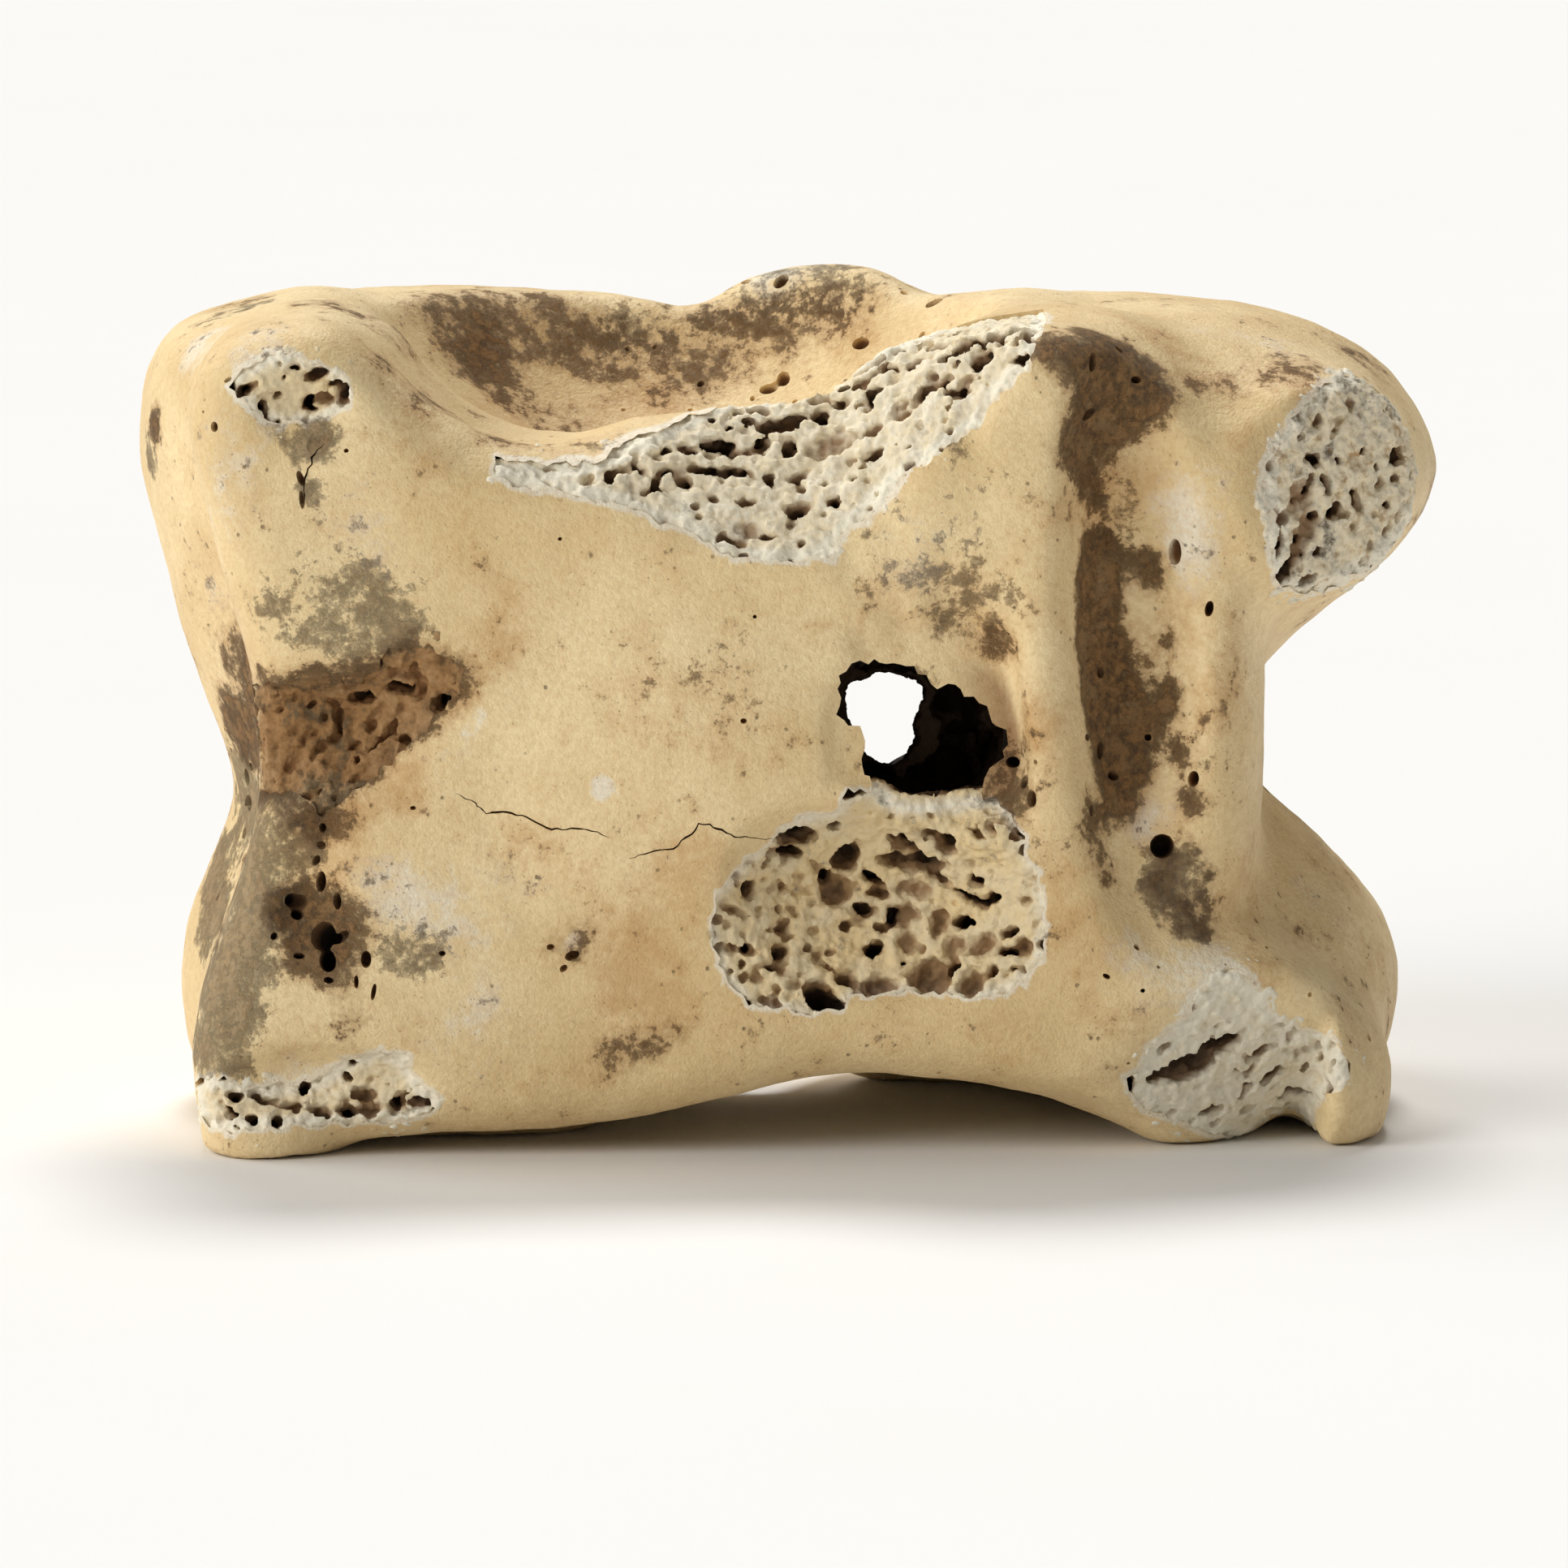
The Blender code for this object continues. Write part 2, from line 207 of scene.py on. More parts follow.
# Pores given one by one: (across, up, half length, half width, lean in degrees, depth).
SHOULDER_PORES = (
    (-2.76, 16.63, 0.13, 0.11, 0, 0.5), (-2.25, 16.6, 0.17, 0.13, 0, 0.5),
    (-1.55, 16.77, 0.42, 0.13, 10, 0.6), (-1.27, 16.57, 0.21, 0.11, 10, 0.4),
    (-0.67, 17.59, 0.21, 0.1, 15, 0.5), (-0.2, 17.22, 0.51, 0.19, 22, 0.8),
    (0.73, 17.41, 0.21, 0.19, 80, 0.6), (-1.83, 16.16, 0.42, 0.1, -5, 0.4),
    (-1.18, 16.12, 0.33, 0.15, 0, 0.35), (0.03, 16.68, 0.28, 0.19, 80, 0.35),
    (0.22, 15.98, 0.19, 0.11, 30, 0.3), (1.89, 16.49, 0.28, 0.11, 20, 0.3),
    (0.96, 16.73, 0.56, 0.28, 20, 0.25), (1.84, 17.89, 0.21, 0.15, 80, 0.4),
    (2.16, 18.47, 0.33, 0.09, 8, 0.35), (2.81, 18.62, 0.23, 0.11, 10, 0.4),
    (2.65, 18.92, 0.13, 0.08, 0, 0.4), (3.32, 19.29, 0.13, 0.08, 20, 0.4),
    (3.6, 19.11, 0.13, 0.09, 0, 0.3), (4.09, 19.15, 0.26, 0.17, 15, 0.6),
    (4.81, 19.31, 0.37, 0.13, 15, 0.6), (3.83, 19.48, 0.19, 0.07, 15, 0.4),
    (4.53, 18.83, 0.13, 0.13, 0, 0.5), (4.3, 18.53, 0.11, 0.09, 0, 0.4),
    (3.05, 18.01, 0.15, 0.13, 30, 0.5), (5.32, 18.69, 0.15, 0.09, 0, 0.4),
    (0.63, 17.85, 0.17, 0.13, 60, 0.3), (0.12, 17.8, 0.19, 0.11, 30, 0.35),
    (-0.44, 15.98, 0.15, 0.13, 70, 0.3), (1.05, 15.41, 0.17, 0.13, 0, 0.8),
    (-0.44, 14.62, 0.23, 0.08, 5, 0.4), (-0.9, 14.81, 0.37, 0.21, 10, 0.25),
    (-1.27, 14.53, 0.37, 0.13, -10, 0.3), (0.22, 15.23, 0.3, 0.17, 15, 0.35),
    (-0.9, 15.42, 0.23, 0.13, 10, 0.25), (-4.11, 15.98, 0.19, 0.11, 80, 0.3),
    (-3.41, 16.26, 0.19, 0.09, -20, 0.3), (-3.04, 15.84, 0.21, 0.13, 70, 0.35),
    (-2.39, 15.93, 0.23, 0.17, 0, 0.25), (-0.53, 16.77, 0.23, 0.13, 30, 0.25),
    (1.89, 17.05, 0.28, 0.13, 30, 0.2), (2.54, 17.43, 0.23, 0.15, 0, 0.2),
    (3.46, 18.17, 0.28, 0.13, 20, 0.2), (3.93, 17.89, 0.23, 0.11, 20, 0.2),
    (-4.62, 15.93, 0.21, 0.09, 60, 0.15), (-5.45, 16.21, 0.23, 0.07, -20, 0.15),
    (-5.5, 15.84, 0.14, 0.09, 0, 0.15),
)
BELOW_HOLE_PORES = (
    (0.23, 7.5, 0.45, 0.27, -10, 0.9), (0.11, 7.11, 0.3, 0.1, -10, 0.6),
    (1.07, 7.75, 0.18, 0.12, 0, 0.4), (1.45, 8.89, 0.33, 0.24, 60, 0.5),
    (1.66, 8.77, 0.24, 0.18, 0, 0.4), (1.36, 7.02, 0.36, 0.3, 60, 0.7),
    (1.96, 6.57, 0.3, 0.13, -30, 0.7), (1.13, 6.3, 0.36, 0.36, 0, 0.45),
    (0.89, 6.6, 0.18, 0.15, 90, 0.5), (2.68, 7.32, 0.51, 0.12, -32, 0.5),
    (3.58, 7.26, 0.27, 0.23, -60, 0.7), (3.28, 7.57, 0.18, 0.12, 0, 0.3),
    (4.29, 7.75, 0.36, 0.07, -35, 0.3), (5.01, 7.99, 0.3, 0.08, -35, 0.35),
    (5.37, 7.75, 0.24, 0.07, -35, 0.3), (3.1, 6.9, 0.42, 0.19, -5, 0.4),
    (2.44, 6.96, 0.42, 0.15, -10, 0.35), (4.3, 6.51, 0.19, 0.14, 0, 0.7),
    (4.18, 6.11, 0.45, 0.11, -25, 0.6), (4.66, 6.11, 0.21, 0.12, 30, 0.5),
    (3.46, 6.54, 0.3, 0.12, -30, 0.3), (2.92, 6.3, 0.45, 0.24, 0, 0.3),
    (2.08, 6.23, 0.27, 0.13, 0, 0.3), (2.38, 5.72, 0.24, 0.13, 85, 0.7),
    (2.68, 5.75, 0.36, 0.27, 0, 0.4), (1.75, 5.87, 0.24, 0.17, -20, 0.4),
    (4.0, 5.58, 0.25, 0.16, 10, 0.8), (3.46, 5.57, 0.33, 0.21, 80, 0.35),
    (4.42, 5.08, 0.36, 0.24, 20, 0.35), (5.05, 5.36, 0.24, 0.11, 25, 0.6),
    (3.82, 5.08, 0.27, 0.24, 0, 0.3), (1.96, 4.99, 0.27, 0.18, 30, 0.7),
    (2.74, 5.08, 0.24, 0.21, 0, 0.3), (2.68, 4.69, 0.12, 0.08, 0, 0.4),
    (1.37, 4.3, 0.27, 0.19, -20, 0.35), (2.09, 4.18, 0.45, 0.25, 10, 0.4),
    (3.28, 4.36, 0.48, 0.42, 0, 0.45), (3.82, 4.57, 0.18, 0.13, 30, 0.5),
    (4.21, 4.24, 0.36, 0.3, 60, 0.4), (4.66, 4.48, 0.18, 0.15, 60, 0.3),
    (4.96, 4.93, 0.21, 0.13, 10, 0.5), (5.35, 5.02, 0.24, 0.21, 45, 0.4),
    (5.17, 4.48, 0.13, 0.06, 30, 0.5), (4.9, 4.12, 0.08, 0.06, 0, 0.6),
    (0.8, 3.93, 0.39, 0.33, -45, 1.2), (1.13, 3.57, 0.27, 0.18, -20, 0.5),
    (-0.82, 6.3, 0.23, 0.18, 80, 0.5), (-0.07, 6.39, 0.08, 0.06, 0, 0.4),
    (-0.07, 5.45, 0.15, 0.11, 0, 0.3), (-0.13, 4.99, 0.24, 0.17, 20, 0.4),
    (-0.97, 4.93, 0.13, 0.11, 90, 0.5), (-0.25, 4.54, 0.3, 0.07, -5, 0.4),
    (-1.27, 5.02, 0.08, 0.08, 0, 0.3), (1.37, 5.51, 0.15, 0.11, 0, 0.3),
)
KNOB_PORES = (
    (9.27, 2.14, 0.68, 0.32, 5, 0.7), (9.77, 2.55, 0.23, 0.27, 60, 0.8),
    (10.27, 2.74, 0.27, 0.16, 10, 0.5), (8.68, 1.91, 0.36, 0.11, 5, 0.5),
    (11.23, 1.95, 0.27, 0.11, 35, 0.5), (10.68, 1.72, 0.16, 0.08, 0, 0.5),
    (11.69, 1.54, 0.43, 0.13, 20, 0.6), (10.91, 2.46, 0.36, 0.1, 35, 0.25),
    (9.77, 1.12, 0.27, 0.11, 5, 0.4), (10.68, 1.17, 0.32, 0.06, 0, 0.35),
    (11.55, 1.17, 0.13, 0.08, 60, 0.4), (12.42, 1.35, 0.54, 0.14, 30, 0.6),
    (10.41, 0.66, 0.16, 0.05, 0, 0.3), (10.5, 2.05, 0.23, 0.05, -15, 0.3),
    (11.0, 1.72, 0.09, 0.05, 0, 0.3), (10.59, 1.47, 0.09, 0.05, 0, 0.3),
    (10.09, 2.55, 0.14, 0.14, 0, 0.4), (11.86, 2.42, 0.14, 0.05, 50, 0.15),
    (11.63, 2.51, 0.14, 0.05, 50, 0.15), (12.27, 2.37, 0.18, 0.06, 60, 0.15),
    (12.23, 2.74, 0.18, 0.09, 60, 0.12), (11.31, 3.15, 0.14, 0.05, 45, 0.12),
    (11.04, 2.97, 0.14, 0.05, 45, 0.12), (11.59, 2.14, 0.18, 0.05, 50, 0.15),
    (11.96, 2.14, 0.16, 0.06, 60, 0.15), (9.31, 2.14, 0.41, 0.27, 0, 0.6),
)
LOBE_PORES = (
    (12.65, 15.15, 0.2, 0.17, 60, 0.7), (12.19, 16.33, 0.16, 0.13, 70, 0.5),
    (14.06, 16.45, 0.22, 0.18, 60, 0.6), (13.82, 15.31, 0.09, 0.09, 0, 0.5),
    (11.29, 14.94, 0.11, 0.1, 0, 0.6), (11.48, 13.68, 0.39, 0.2, 65, 0.7),
    (11.97, 13.51, 0.26, 0.14, 40, 0.7), (12.25, 14.21, 0.13, 0.11, 0, 0.4),
    (11.8, 14.29, 0.45, 0.24, 70, 0.35), (12.4, 15.76, 0.28, 0.09, 110, 0.4),
    (11.87, 15.43, 0.45, 0.37, 60, 0.3), (13.57, 16.17, 0.12, 0.07, 60, 0.5),
    (12.68, 16.33, 0.09, 0.08, 0, 0.3), (13.24, 16.57, 0.12, 0.08, 20, 0.3),
    (12.69, 13.88, 0.08, 0.07, 0, 0.4), (13.09, 15.39, 0.2, 0.12, 80, 0.3),
    (14.38, 16.09, 0.1, 0.09, 0, 0.5), (12.08, 14.82, 0.37, 0.28, 60, 0.3),
    (12.63, 17.02, 0.08, 0.06, 0, 0.3), (14.12, 18.2, 0.1, 0.08, 0, 0.3),
    (13.89, 17.47, 0.24, 0.18, 60, 0.2), (11.35, 14.37, 0.12, 0.33, 0, 0.4),
    (14.7, 17.06, 0.1, 0.07, 80, 0.25), (14.02, 15.92, 0.16, 0.12, 0, 0.25),
    (13.69, 15.84, 0.12, 0.08, 60, 0.3),
)
FOOT_EDGE_PORES = (
    (-12.75, 1.54, 0.13, 0.12, 0, 0.7), (-12.09, 1.45, 0.41, 0.1, -20, 0.5),
    (-11.87, 0.97, 0.15, 0.14, 90, 0.5), (-12.41, 0.97, 0.15, 0.12, 0, 0.45),
    (-13.0, 1.15, 0.23, 0.09, -30, 0.4), (-11.22, 1.73, 0.2, 0.14, 100, 0.5),
    (-10.86, 1.24, 0.27, 0.16, -10, 0.6), (-10.27, 1.2, 0.23, 0.13, -10, 0.6),
    (-9.08, 1.27, 0.14, 0.12, 90, 0.7), (-9.81, 1.61, 0.3, 0.16, 10, 0.3),
    (-9.72, 1.29, 0.27, 0.18, 10, 0.35), (-8.54, 1.34, 0.23, 0.15, 0, 0.35),
    (-7.99, 1.15, 0.27, 0.09, 0, 0.3), (-10.1, 2.26, 0.13, 0.09, 60, 0.35),
    (-11.45, 1.34, 0.2, 0.14, 0, 0.3), (-8.81, 1.66, 0.14, 0.05, 20, 0.2),
    (-9.35, 1.8, 0.18, 0.05, 0, 0.2), (-13.27, 1.66, 0.14, 0.05, -20, 0.2),
    (-12.83, 0.46, 0.18, 0.07, 0, 0.2), (-13.46, 0.46, 0.18, 0.09, 20, 0.2),
)
FOOT_CORNER_PORES = (
    (-12.49, 17.95, 0.17, 0.1, 30, 0.6), (-12.72, 17.83, 0.09, 0.05, 20, 0.4),
    (-11.35, 18.49, 0.15, 0.07, 0, 0.6), (-11.69, 18.57, 0.07, 0.06, 60, 0.4),
    (-10.86, 18.3, 0.3, 0.15, 20, 0.35), (-10.49, 18.02, 0.2, 0.09, 10, 0.6),
    (-10.29, 17.8, 0.25, 0.15, 80, 0.4), (-11.06, 17.66, 0.2, 0.12, 60, 0.7),
    (-10.96, 17.5, 0.15, 0.06, 0, 0.6), (-11.96, 17.9, 0.07, 0.06, 20, 0.5),
    (-11.72, 17.8, 0.13, 0.08, 30, 0.3), (-11.99, 17.46, 0.33, 0.08, 95, 0.6),
    (-11.73, 17.2, 0.18, 0.06, 75, 0.5), (-12.06, 17.56, 0.09, 0.08, 0, 0.5),
    (-11.43, 17.3, 0.07, 0.06, 0, 0.4), (-11.23, 17.03, 0.2, 0.1, 65, 0.4),
    (-10.86, 17.26, 0.23, 0.05, 20, 0.4), (-12.22, 18.13, 0.09, 0.05, 20, 0.4),
    (-10.69, 17.73, 0.2, 0.17, 0, 0.25), (-11.96, 16.93, 0.05, 0.05, 0, 0.3),
    (-11.56, 18.2, 0.08, 0.07, 0, 0.3),
)
CRUST_PORES = (
    (-12.67, 9.9, 0.14, 0.13, 90, 0.6), (-9.0, 10.97, 0.32, 0.17, 0, 0.5),
    (-8.11, 10.68, 0.23, 0.18, 60, 0.6), (-9.52, 9.82, 0.37, 0.09, 50, 0.3),
    (-9.98, 9.41, 0.1, 0.09, 0, 0.3), (-9.86, 10.74, 0.34, 0.17, 10, 0.4),
    (-10.43, 10.28, 0.46, 0.09, 100, 0.3), (-8.95, 9.93, 0.18, 0.07, -10, 0.3),
    (-8.65, 11.2, 0.34, 0.08, -5, 0.2), (-9.29, 9.12, 0.23, 0.08, 30, 0.2),
    (-9.69, 10.16, 0.17, 0.11, 60, 0.2), (-11.24, 9.7, 0.34, 0.08, 70, 0.12),
    (-10.78, 9.7, 0.11, 0.11, 0, 0.15), (-12.15, 10.28, 0.34, 0.17, 20, 0.12),
    (-11.69, 10.97, 0.34, 0.08, 5, 0.12),
)

# One crop of pores: where, how far apart, smallest and largest radius, how much longer than wide,
# the way they lean in degrees up from level, and how deep each layer lies.
Pores = namedtuple("Pores", "outline apart smallest largest longer lean layers")
# One break in the skin: its outline, how far its bone lies under the skin, the height of its crumbs,
# how deep the recess goes, the pores given one by one, its crops of other pores, how dirty and how
# freshly broken it is, and the seed of its random draws.
Break = namedtuple("Break", "name outline worn crumbs recess placed pores dirt fresh seed")

BREAKS = (
    Break("spongy_shoulder", SHOULDER_OUTLINE, 0.08, 0.22, 1.3, SHOULDER_PORES, (
        Pores(SHOULDER_UPPER, 0.34, 0.06, 0.15, 1.6, 15, (0.0, 0.35)),
        Pores(SHOULDER_LOWER, 0.34, 0.05, 0.13, 1.3, 15, (0.0,)),
    ), 0.12, 0.6, 11),
    Break("spongy_below_hole", BELOW_HOLE_OUTLINE, 0.1, 0.18, 1.5, BELOW_HOLE_PORES, (
        Pores(BELOW_HOLE_GREY, 0.3, 0.06, 0.14, 1.4, 20, (0.0,)),
        Pores(BELOW_HOLE_OUTLINE, 0.4, 0.05, 0.13, 1.7, -25, (0.0,)),
    ), 0.3, 0.3, 12),
    Break("spongy_knob", KNOB_OUTLINE, 0.03, 0.14, 1.2, KNOB_PORES, (
        Pores(KNOB_OUTLINE, 0.3, 0.05, 0.1, 2.2, 45, (0.0,)),
    ), 0.05, 0.72, 13),
    Break("spongy_lobe", LOBE_OUTLINE, 0.02, 0.24, 1.2, LOBE_PORES, (
        Pores(LOBE_OUTLINE, 0.4, 0.06, 0.14, 1.5, 60, (0.0, 0.35)),
    ), 0.42, 0.6, 14),
    Break("spongy_foot_edge", FOOT_EDGE_OUTLINE, 0.05, 0.14, 1.1, FOOT_EDGE_PORES, (
        Pores(FOOT_EDGE_OUTLINE, 0.34, 0.05, 0.12, 1.5, -10, (0.0, 0.3)),
    ), 0.2, 0.5, 15),
    Break("spongy_foot_corner", FOOT_CORNER_OUTLINE, 0.04, 0.12, 1.1, FOOT_CORNER_PORES, (
        Pores(FOOT_CORNER_OUTLINE, 0.34, 0.04, 0.1, 1.4, 35, (0.0,)),
    ), 0.25, 0.35, 16),
    Break("crust_foot_end", CRUST_OUTLINE, 0.1, 0.4, 0.9, CRUST_PORES, (
        Pores(CRUST_OUTLINE, 0.4, 0.06, 0.16, 1.7, 50, (0.0,)),
    ), 0.6, 0.05, 17),
)
# The listed pores are cut this much wider, and the narrow ones this much deeper,
# than given, because the voxels round them off.
PORE_SWELL = 1.2
PORE_SINK = 1.7
NARROW_PORE = 0.2

# Single pits in the skin, given as the pores are.
PITS = (
    (5.46, 8.86, 0.15, 0.13, 80, 0.8), (5.61, 8.47, 0.18, 0.11, 100, 0.5),
    (5.19, 9.32, 0.15, 0.12, 0, 0.4), (5.7, 9.32, 0.07, 0.06, 0, 0.3),
    (-1.03, 10.28, 0.06, 0.08, 90, 0.15), (8.07, 5.0, 0.09, 0.06, -30, 0.3),
    (8.21, 3.98, 0.06, 0.05, 0, 0.3), (8.65, 2.74, 0.06, 0.05, 0, 0.3),
    (9.56, 3.89, 0.07, 0.05, 30, 0.2), (8.13, 1.68, 0.07, 0.06, 0, 0.25),
    (7.88, 2.28, 0.05, 0.04, 0, 0.2), (8.57, 4.54, 0.06, 0.04, -20, 0.2),
    (7.37, 4.31, 0.1, 0.05, -30, 0.2), (11.08, 5.0, 0.07, 0.05, 60, 0.15),
    (12.08, 3.89, 0.06, 0.06, 0, 0.1), (13.45, 2.88, 0.1, 0.06, 60, 0.25),
    (-13.21, 17.11, 0.11, 0.09, 90, 0.5), (-12.89, 18.2, 0.1, 0.05, 20, 0.3),
    (-10.76, 16.79, 0.37, 0.25, 60, 0.12), (-10.18, 16.56, 0.06, 0.05, 0, 0.15),
    (-13.46, 17.46, 0.04, 0.04, 0, 0.15), (-11.23, 15.92, 0.17, 0.07, 110, 0.15),
    (-11.2, 15.42, 0.2, 0.06, 95, 0.12), (-10.79, 8.25, 0.18, 0.11, 90, 0.5),
    (-10.76, 7.79, 0.11, 0.08, 80, 0.3), (-10.8, 6.54, 0.22, 0.11, 85, 0.4),
    (-11.49, 6.1, 0.15, 0.14, 40, 0.35), (-11.35, 5.76, 0.14, 0.11, 0, 0.4),
    (-10.43, 6.08, 0.18, 0.09, 95, 0.4), (-10.75, 5.26, 0.3, 0.26, 80, 1),
    (-10.66, 4.68, 0.23, 0.17, 100, 0.7), (-11.32, 4.8, 0.13, 0.07, 0, 0.25),
    (-9.77, 4.71, 0.18, 0.11, 90, 0.25), (-11.9, 5.26, 0.09, 0.07, 60, 0.2),
    (-10.64, 4.22, 0.11, 0.07, -10, 0.25), (-10.0, 4.19, 0.15, 0.05, 90, 0.2),
    (-9.6, 3.95, 0.19, 0.05, 80, 0.2), (-10.79, 7.38, 0.11, 0.09, 0, 0.15),
    (-10.91, 7.03, 0.13, 0.08, 60, 0.15), (-11.35, 6.05, 0.23, 0.17, 0, 0.2),
    (-10.34, 5.23, 0.19, 0.1, 40, 0.25), (-8.67, 8.25, 0.07, 0.05, 0, 0.15),
    (-12.39, 9.18, 0.14, 0.11, 0, 0.15), (8.64, 7.36, 0.25, 0.25, 0, 0.8),
    (8.91, 14.21, 0.28, 0.16, 80, 0.25), (9.7, 12.89, 0.17, 0.09, 80, 0.3),
    (9.35, 8.93, 0.17, 0.12, 80, 0.3), (-8.01, 4.85, 0.08, 0.06, 0, 0.15),
    (-5.26, 14.51, 0.05, 0.05, 0, 0.15), (-0.77, 12.71, 0.05, 0.05, 0, 0.15),
    (-5.0, 4.8, 0.16, 0.1, 20, 0.2), (-5.5, 5.0, 0.09, 0.07, 0, 0.15), (-5.2, 4.5, 0.1, 0.07, 40, 0.15),
    (7.2, 9.6, 0.2, 0.1, 60, 0.3), (7.5, 9.0, 0.16, 0.1, 0, 0.3), (6.9, 9.9, 0.1, 0.08, 0, 0.3),
    (7.0, 8.2, 0.14, 0.07, 60, 0.2), (7.2, 11.4, 0.12, 0.1, 80, 0.15), (8.3, 9.9, 0.08, 0.08, 0, 0.2),
    (7.0, 18.6, 0.2, 0.1, 70, 0.3), (7.6, 18.9, 0.1, 0.08, 0, 0.2), (8.0, 18.2, 0.12, 0.08, 0, 0.2),
    (6.9, 17.4, 0.2, 0.1, 10, 0.2),
)
CRACKS = (
    ((-7.67, 8.59), (-7.24, 8.36), (-6.96, 8.13), (-6.49, 8.17), (-6.03, 8.02), (-5.46, 7.75), (-4.99, 7.79),
     (-4.53, 7.7), (-4.11, 7.56)),
    ((-3.68, 7.07), (-3.21, 7.22), (-2.65, 7.32), (-2.28, 7.6), (-2.05, 7.9), (-1.62, 7.79), (-1.24, 7.6),
     (-0.78, 7.56), (-0.31, 7.51)),
    ((-10.71, 16.75), (-10.95, 16.38), (-11.12, 15.91), (-11.14, 15.38)),
)

# Marks on the skin: (across, up, radius, strength). The dark and grey ones are stains; the tan and pale
# lists also paint shade and light.
DARK_STAINS = (
    (7.1, 14.4, 0.7, 0.6), (7.1, 13.2, 0.75, 0.9), (7.1, 12.1, 0.75, 0.9), (7.3, 10.8, 0.8, 1),
    (7.5, 9.5, 0.8, 0.9), (7.6, 8.3, 0.6, 0.6), (8.1, 11.4, 0.9, 0.45), (8.2, 9.9, 0.8, 0.5),
    (8.0, 17.8, 0.9, 0.8), (7.2, 17.3, 0.8, 0.8), (7.2, 19.1, 0.8, 0.7), (6.9, 15.6, 0.6, 0.5),
    (-9.2, 18.3, 1.0, 0.35), (-4.0, 18.0, 1.2, 0.25), (-12.6, 10.1, 1.12, 1), (-11.2, 10.4, 1.31, 1),
    (-9.8, 10.6, 1.31, 1), (-8.4, 11.2, 1.12, 1), (-10.0, 9.5, 0.94, 1), (-12.0, 9.4, 1.03, 0.9),
    (-10.7, 8.0, 0.66, 0.6), (-10.7, 5.3, 1.12, 0.9), (-11.5, 6.1, 0.75, 0.6), (7.1, 18.2, 1.12, 0.9),
    (7.9, 18.5, 0.84, 0.75), (6.6, 16.8, 0.84, 0.7), (7.1, 16.5, 0.94, 0.5), (7.1, 13.8, 0.71, 1),
    (7.1, 12.7, 0.71, 1), (7.2, 11.4, 0.79, 1), (7.4, 10.1, 0.84, 1), (7.7, 8.9, 0.75, 0.7),
    (8.3, 13.8, 0.6, 0.8), (8.8, 12.3, 0.41, 0.5), (8.8, 10.8, 0.52, 0.6), (9.0, 9.5, 0.47, 0.5),
    (9.3, 8.5, 0.47, 0.5), (7.1, 8.0, 0.75, 0.6), (7.3, 6.8, 0.56, 0.4), (6.1, 18.9, 0.66, 0.7),
    (9.5, 18.0, 0.94, 0.35), (-9.4, 19.5, 1.31, 0.45), (-7.7, 19.5, 1.5, 0.6), (-6.0, 19.5, 1.5, 0.5),
    (-4.3, 19.1, 1.31, 0.4), (-6.9, 18.2, 1.12, 0.45), (-5.4, 17.2, 1.12, 0.45),
    (-2.1, 19.3, 1.12, 0.45), (-0.2, 19.5, 1.31, 0.4), (1.3, 19.8, 1.12, 0.35), (-8.1, 17.6, 0.94, 0.4),
    (-6.6, 16.8, 0.75, 0.5), (-14.6, 17.2, 0.52, 0.9), (-12.5, 20.0, 0.94, 0.4),
    (-11.0, 20.0, 0.94, 0.4), (5.0, 9.1, 1.12, 0.5), (4.9, 8.2, 0.75, 0.5), (9.0, 6.5, 1.12, 0.5),
    (9.4, 5.5, 0.75, 0.4), (-5.1, 5.1, 0.75, 0.5), (-4.0, 2.5, 0.75, 0.45), (-2.8, 2.8, 0.75, 0.4),
    (11.8, 5.3, 0.94, 0.25), (12.8, 3.6, 0.94, 0.2), (11.7, 18.5, 1.12, 0.5), (13.2, 18.7, 1.12, 0.45),
    (10.6, 18.2, 0.75, 0.3), (-10.2, 3.4, 0.75, 0.3), (-8.5, 4.8, 0.56, 0.3), (5.0, 12.1, 0.56, 0.4),
    (4.7, 12.0, 0.47, 0.4), (9.6, 1.9, 0.94, 0.5), (-13.3, 10.2, 0.75, 0.9), (-13.2, 9.2, 0.6, 0.8),
    (-11.3, 7.7, 0.7, 0.45), (-11.9, 8.4, 0.7, 0.4),
)
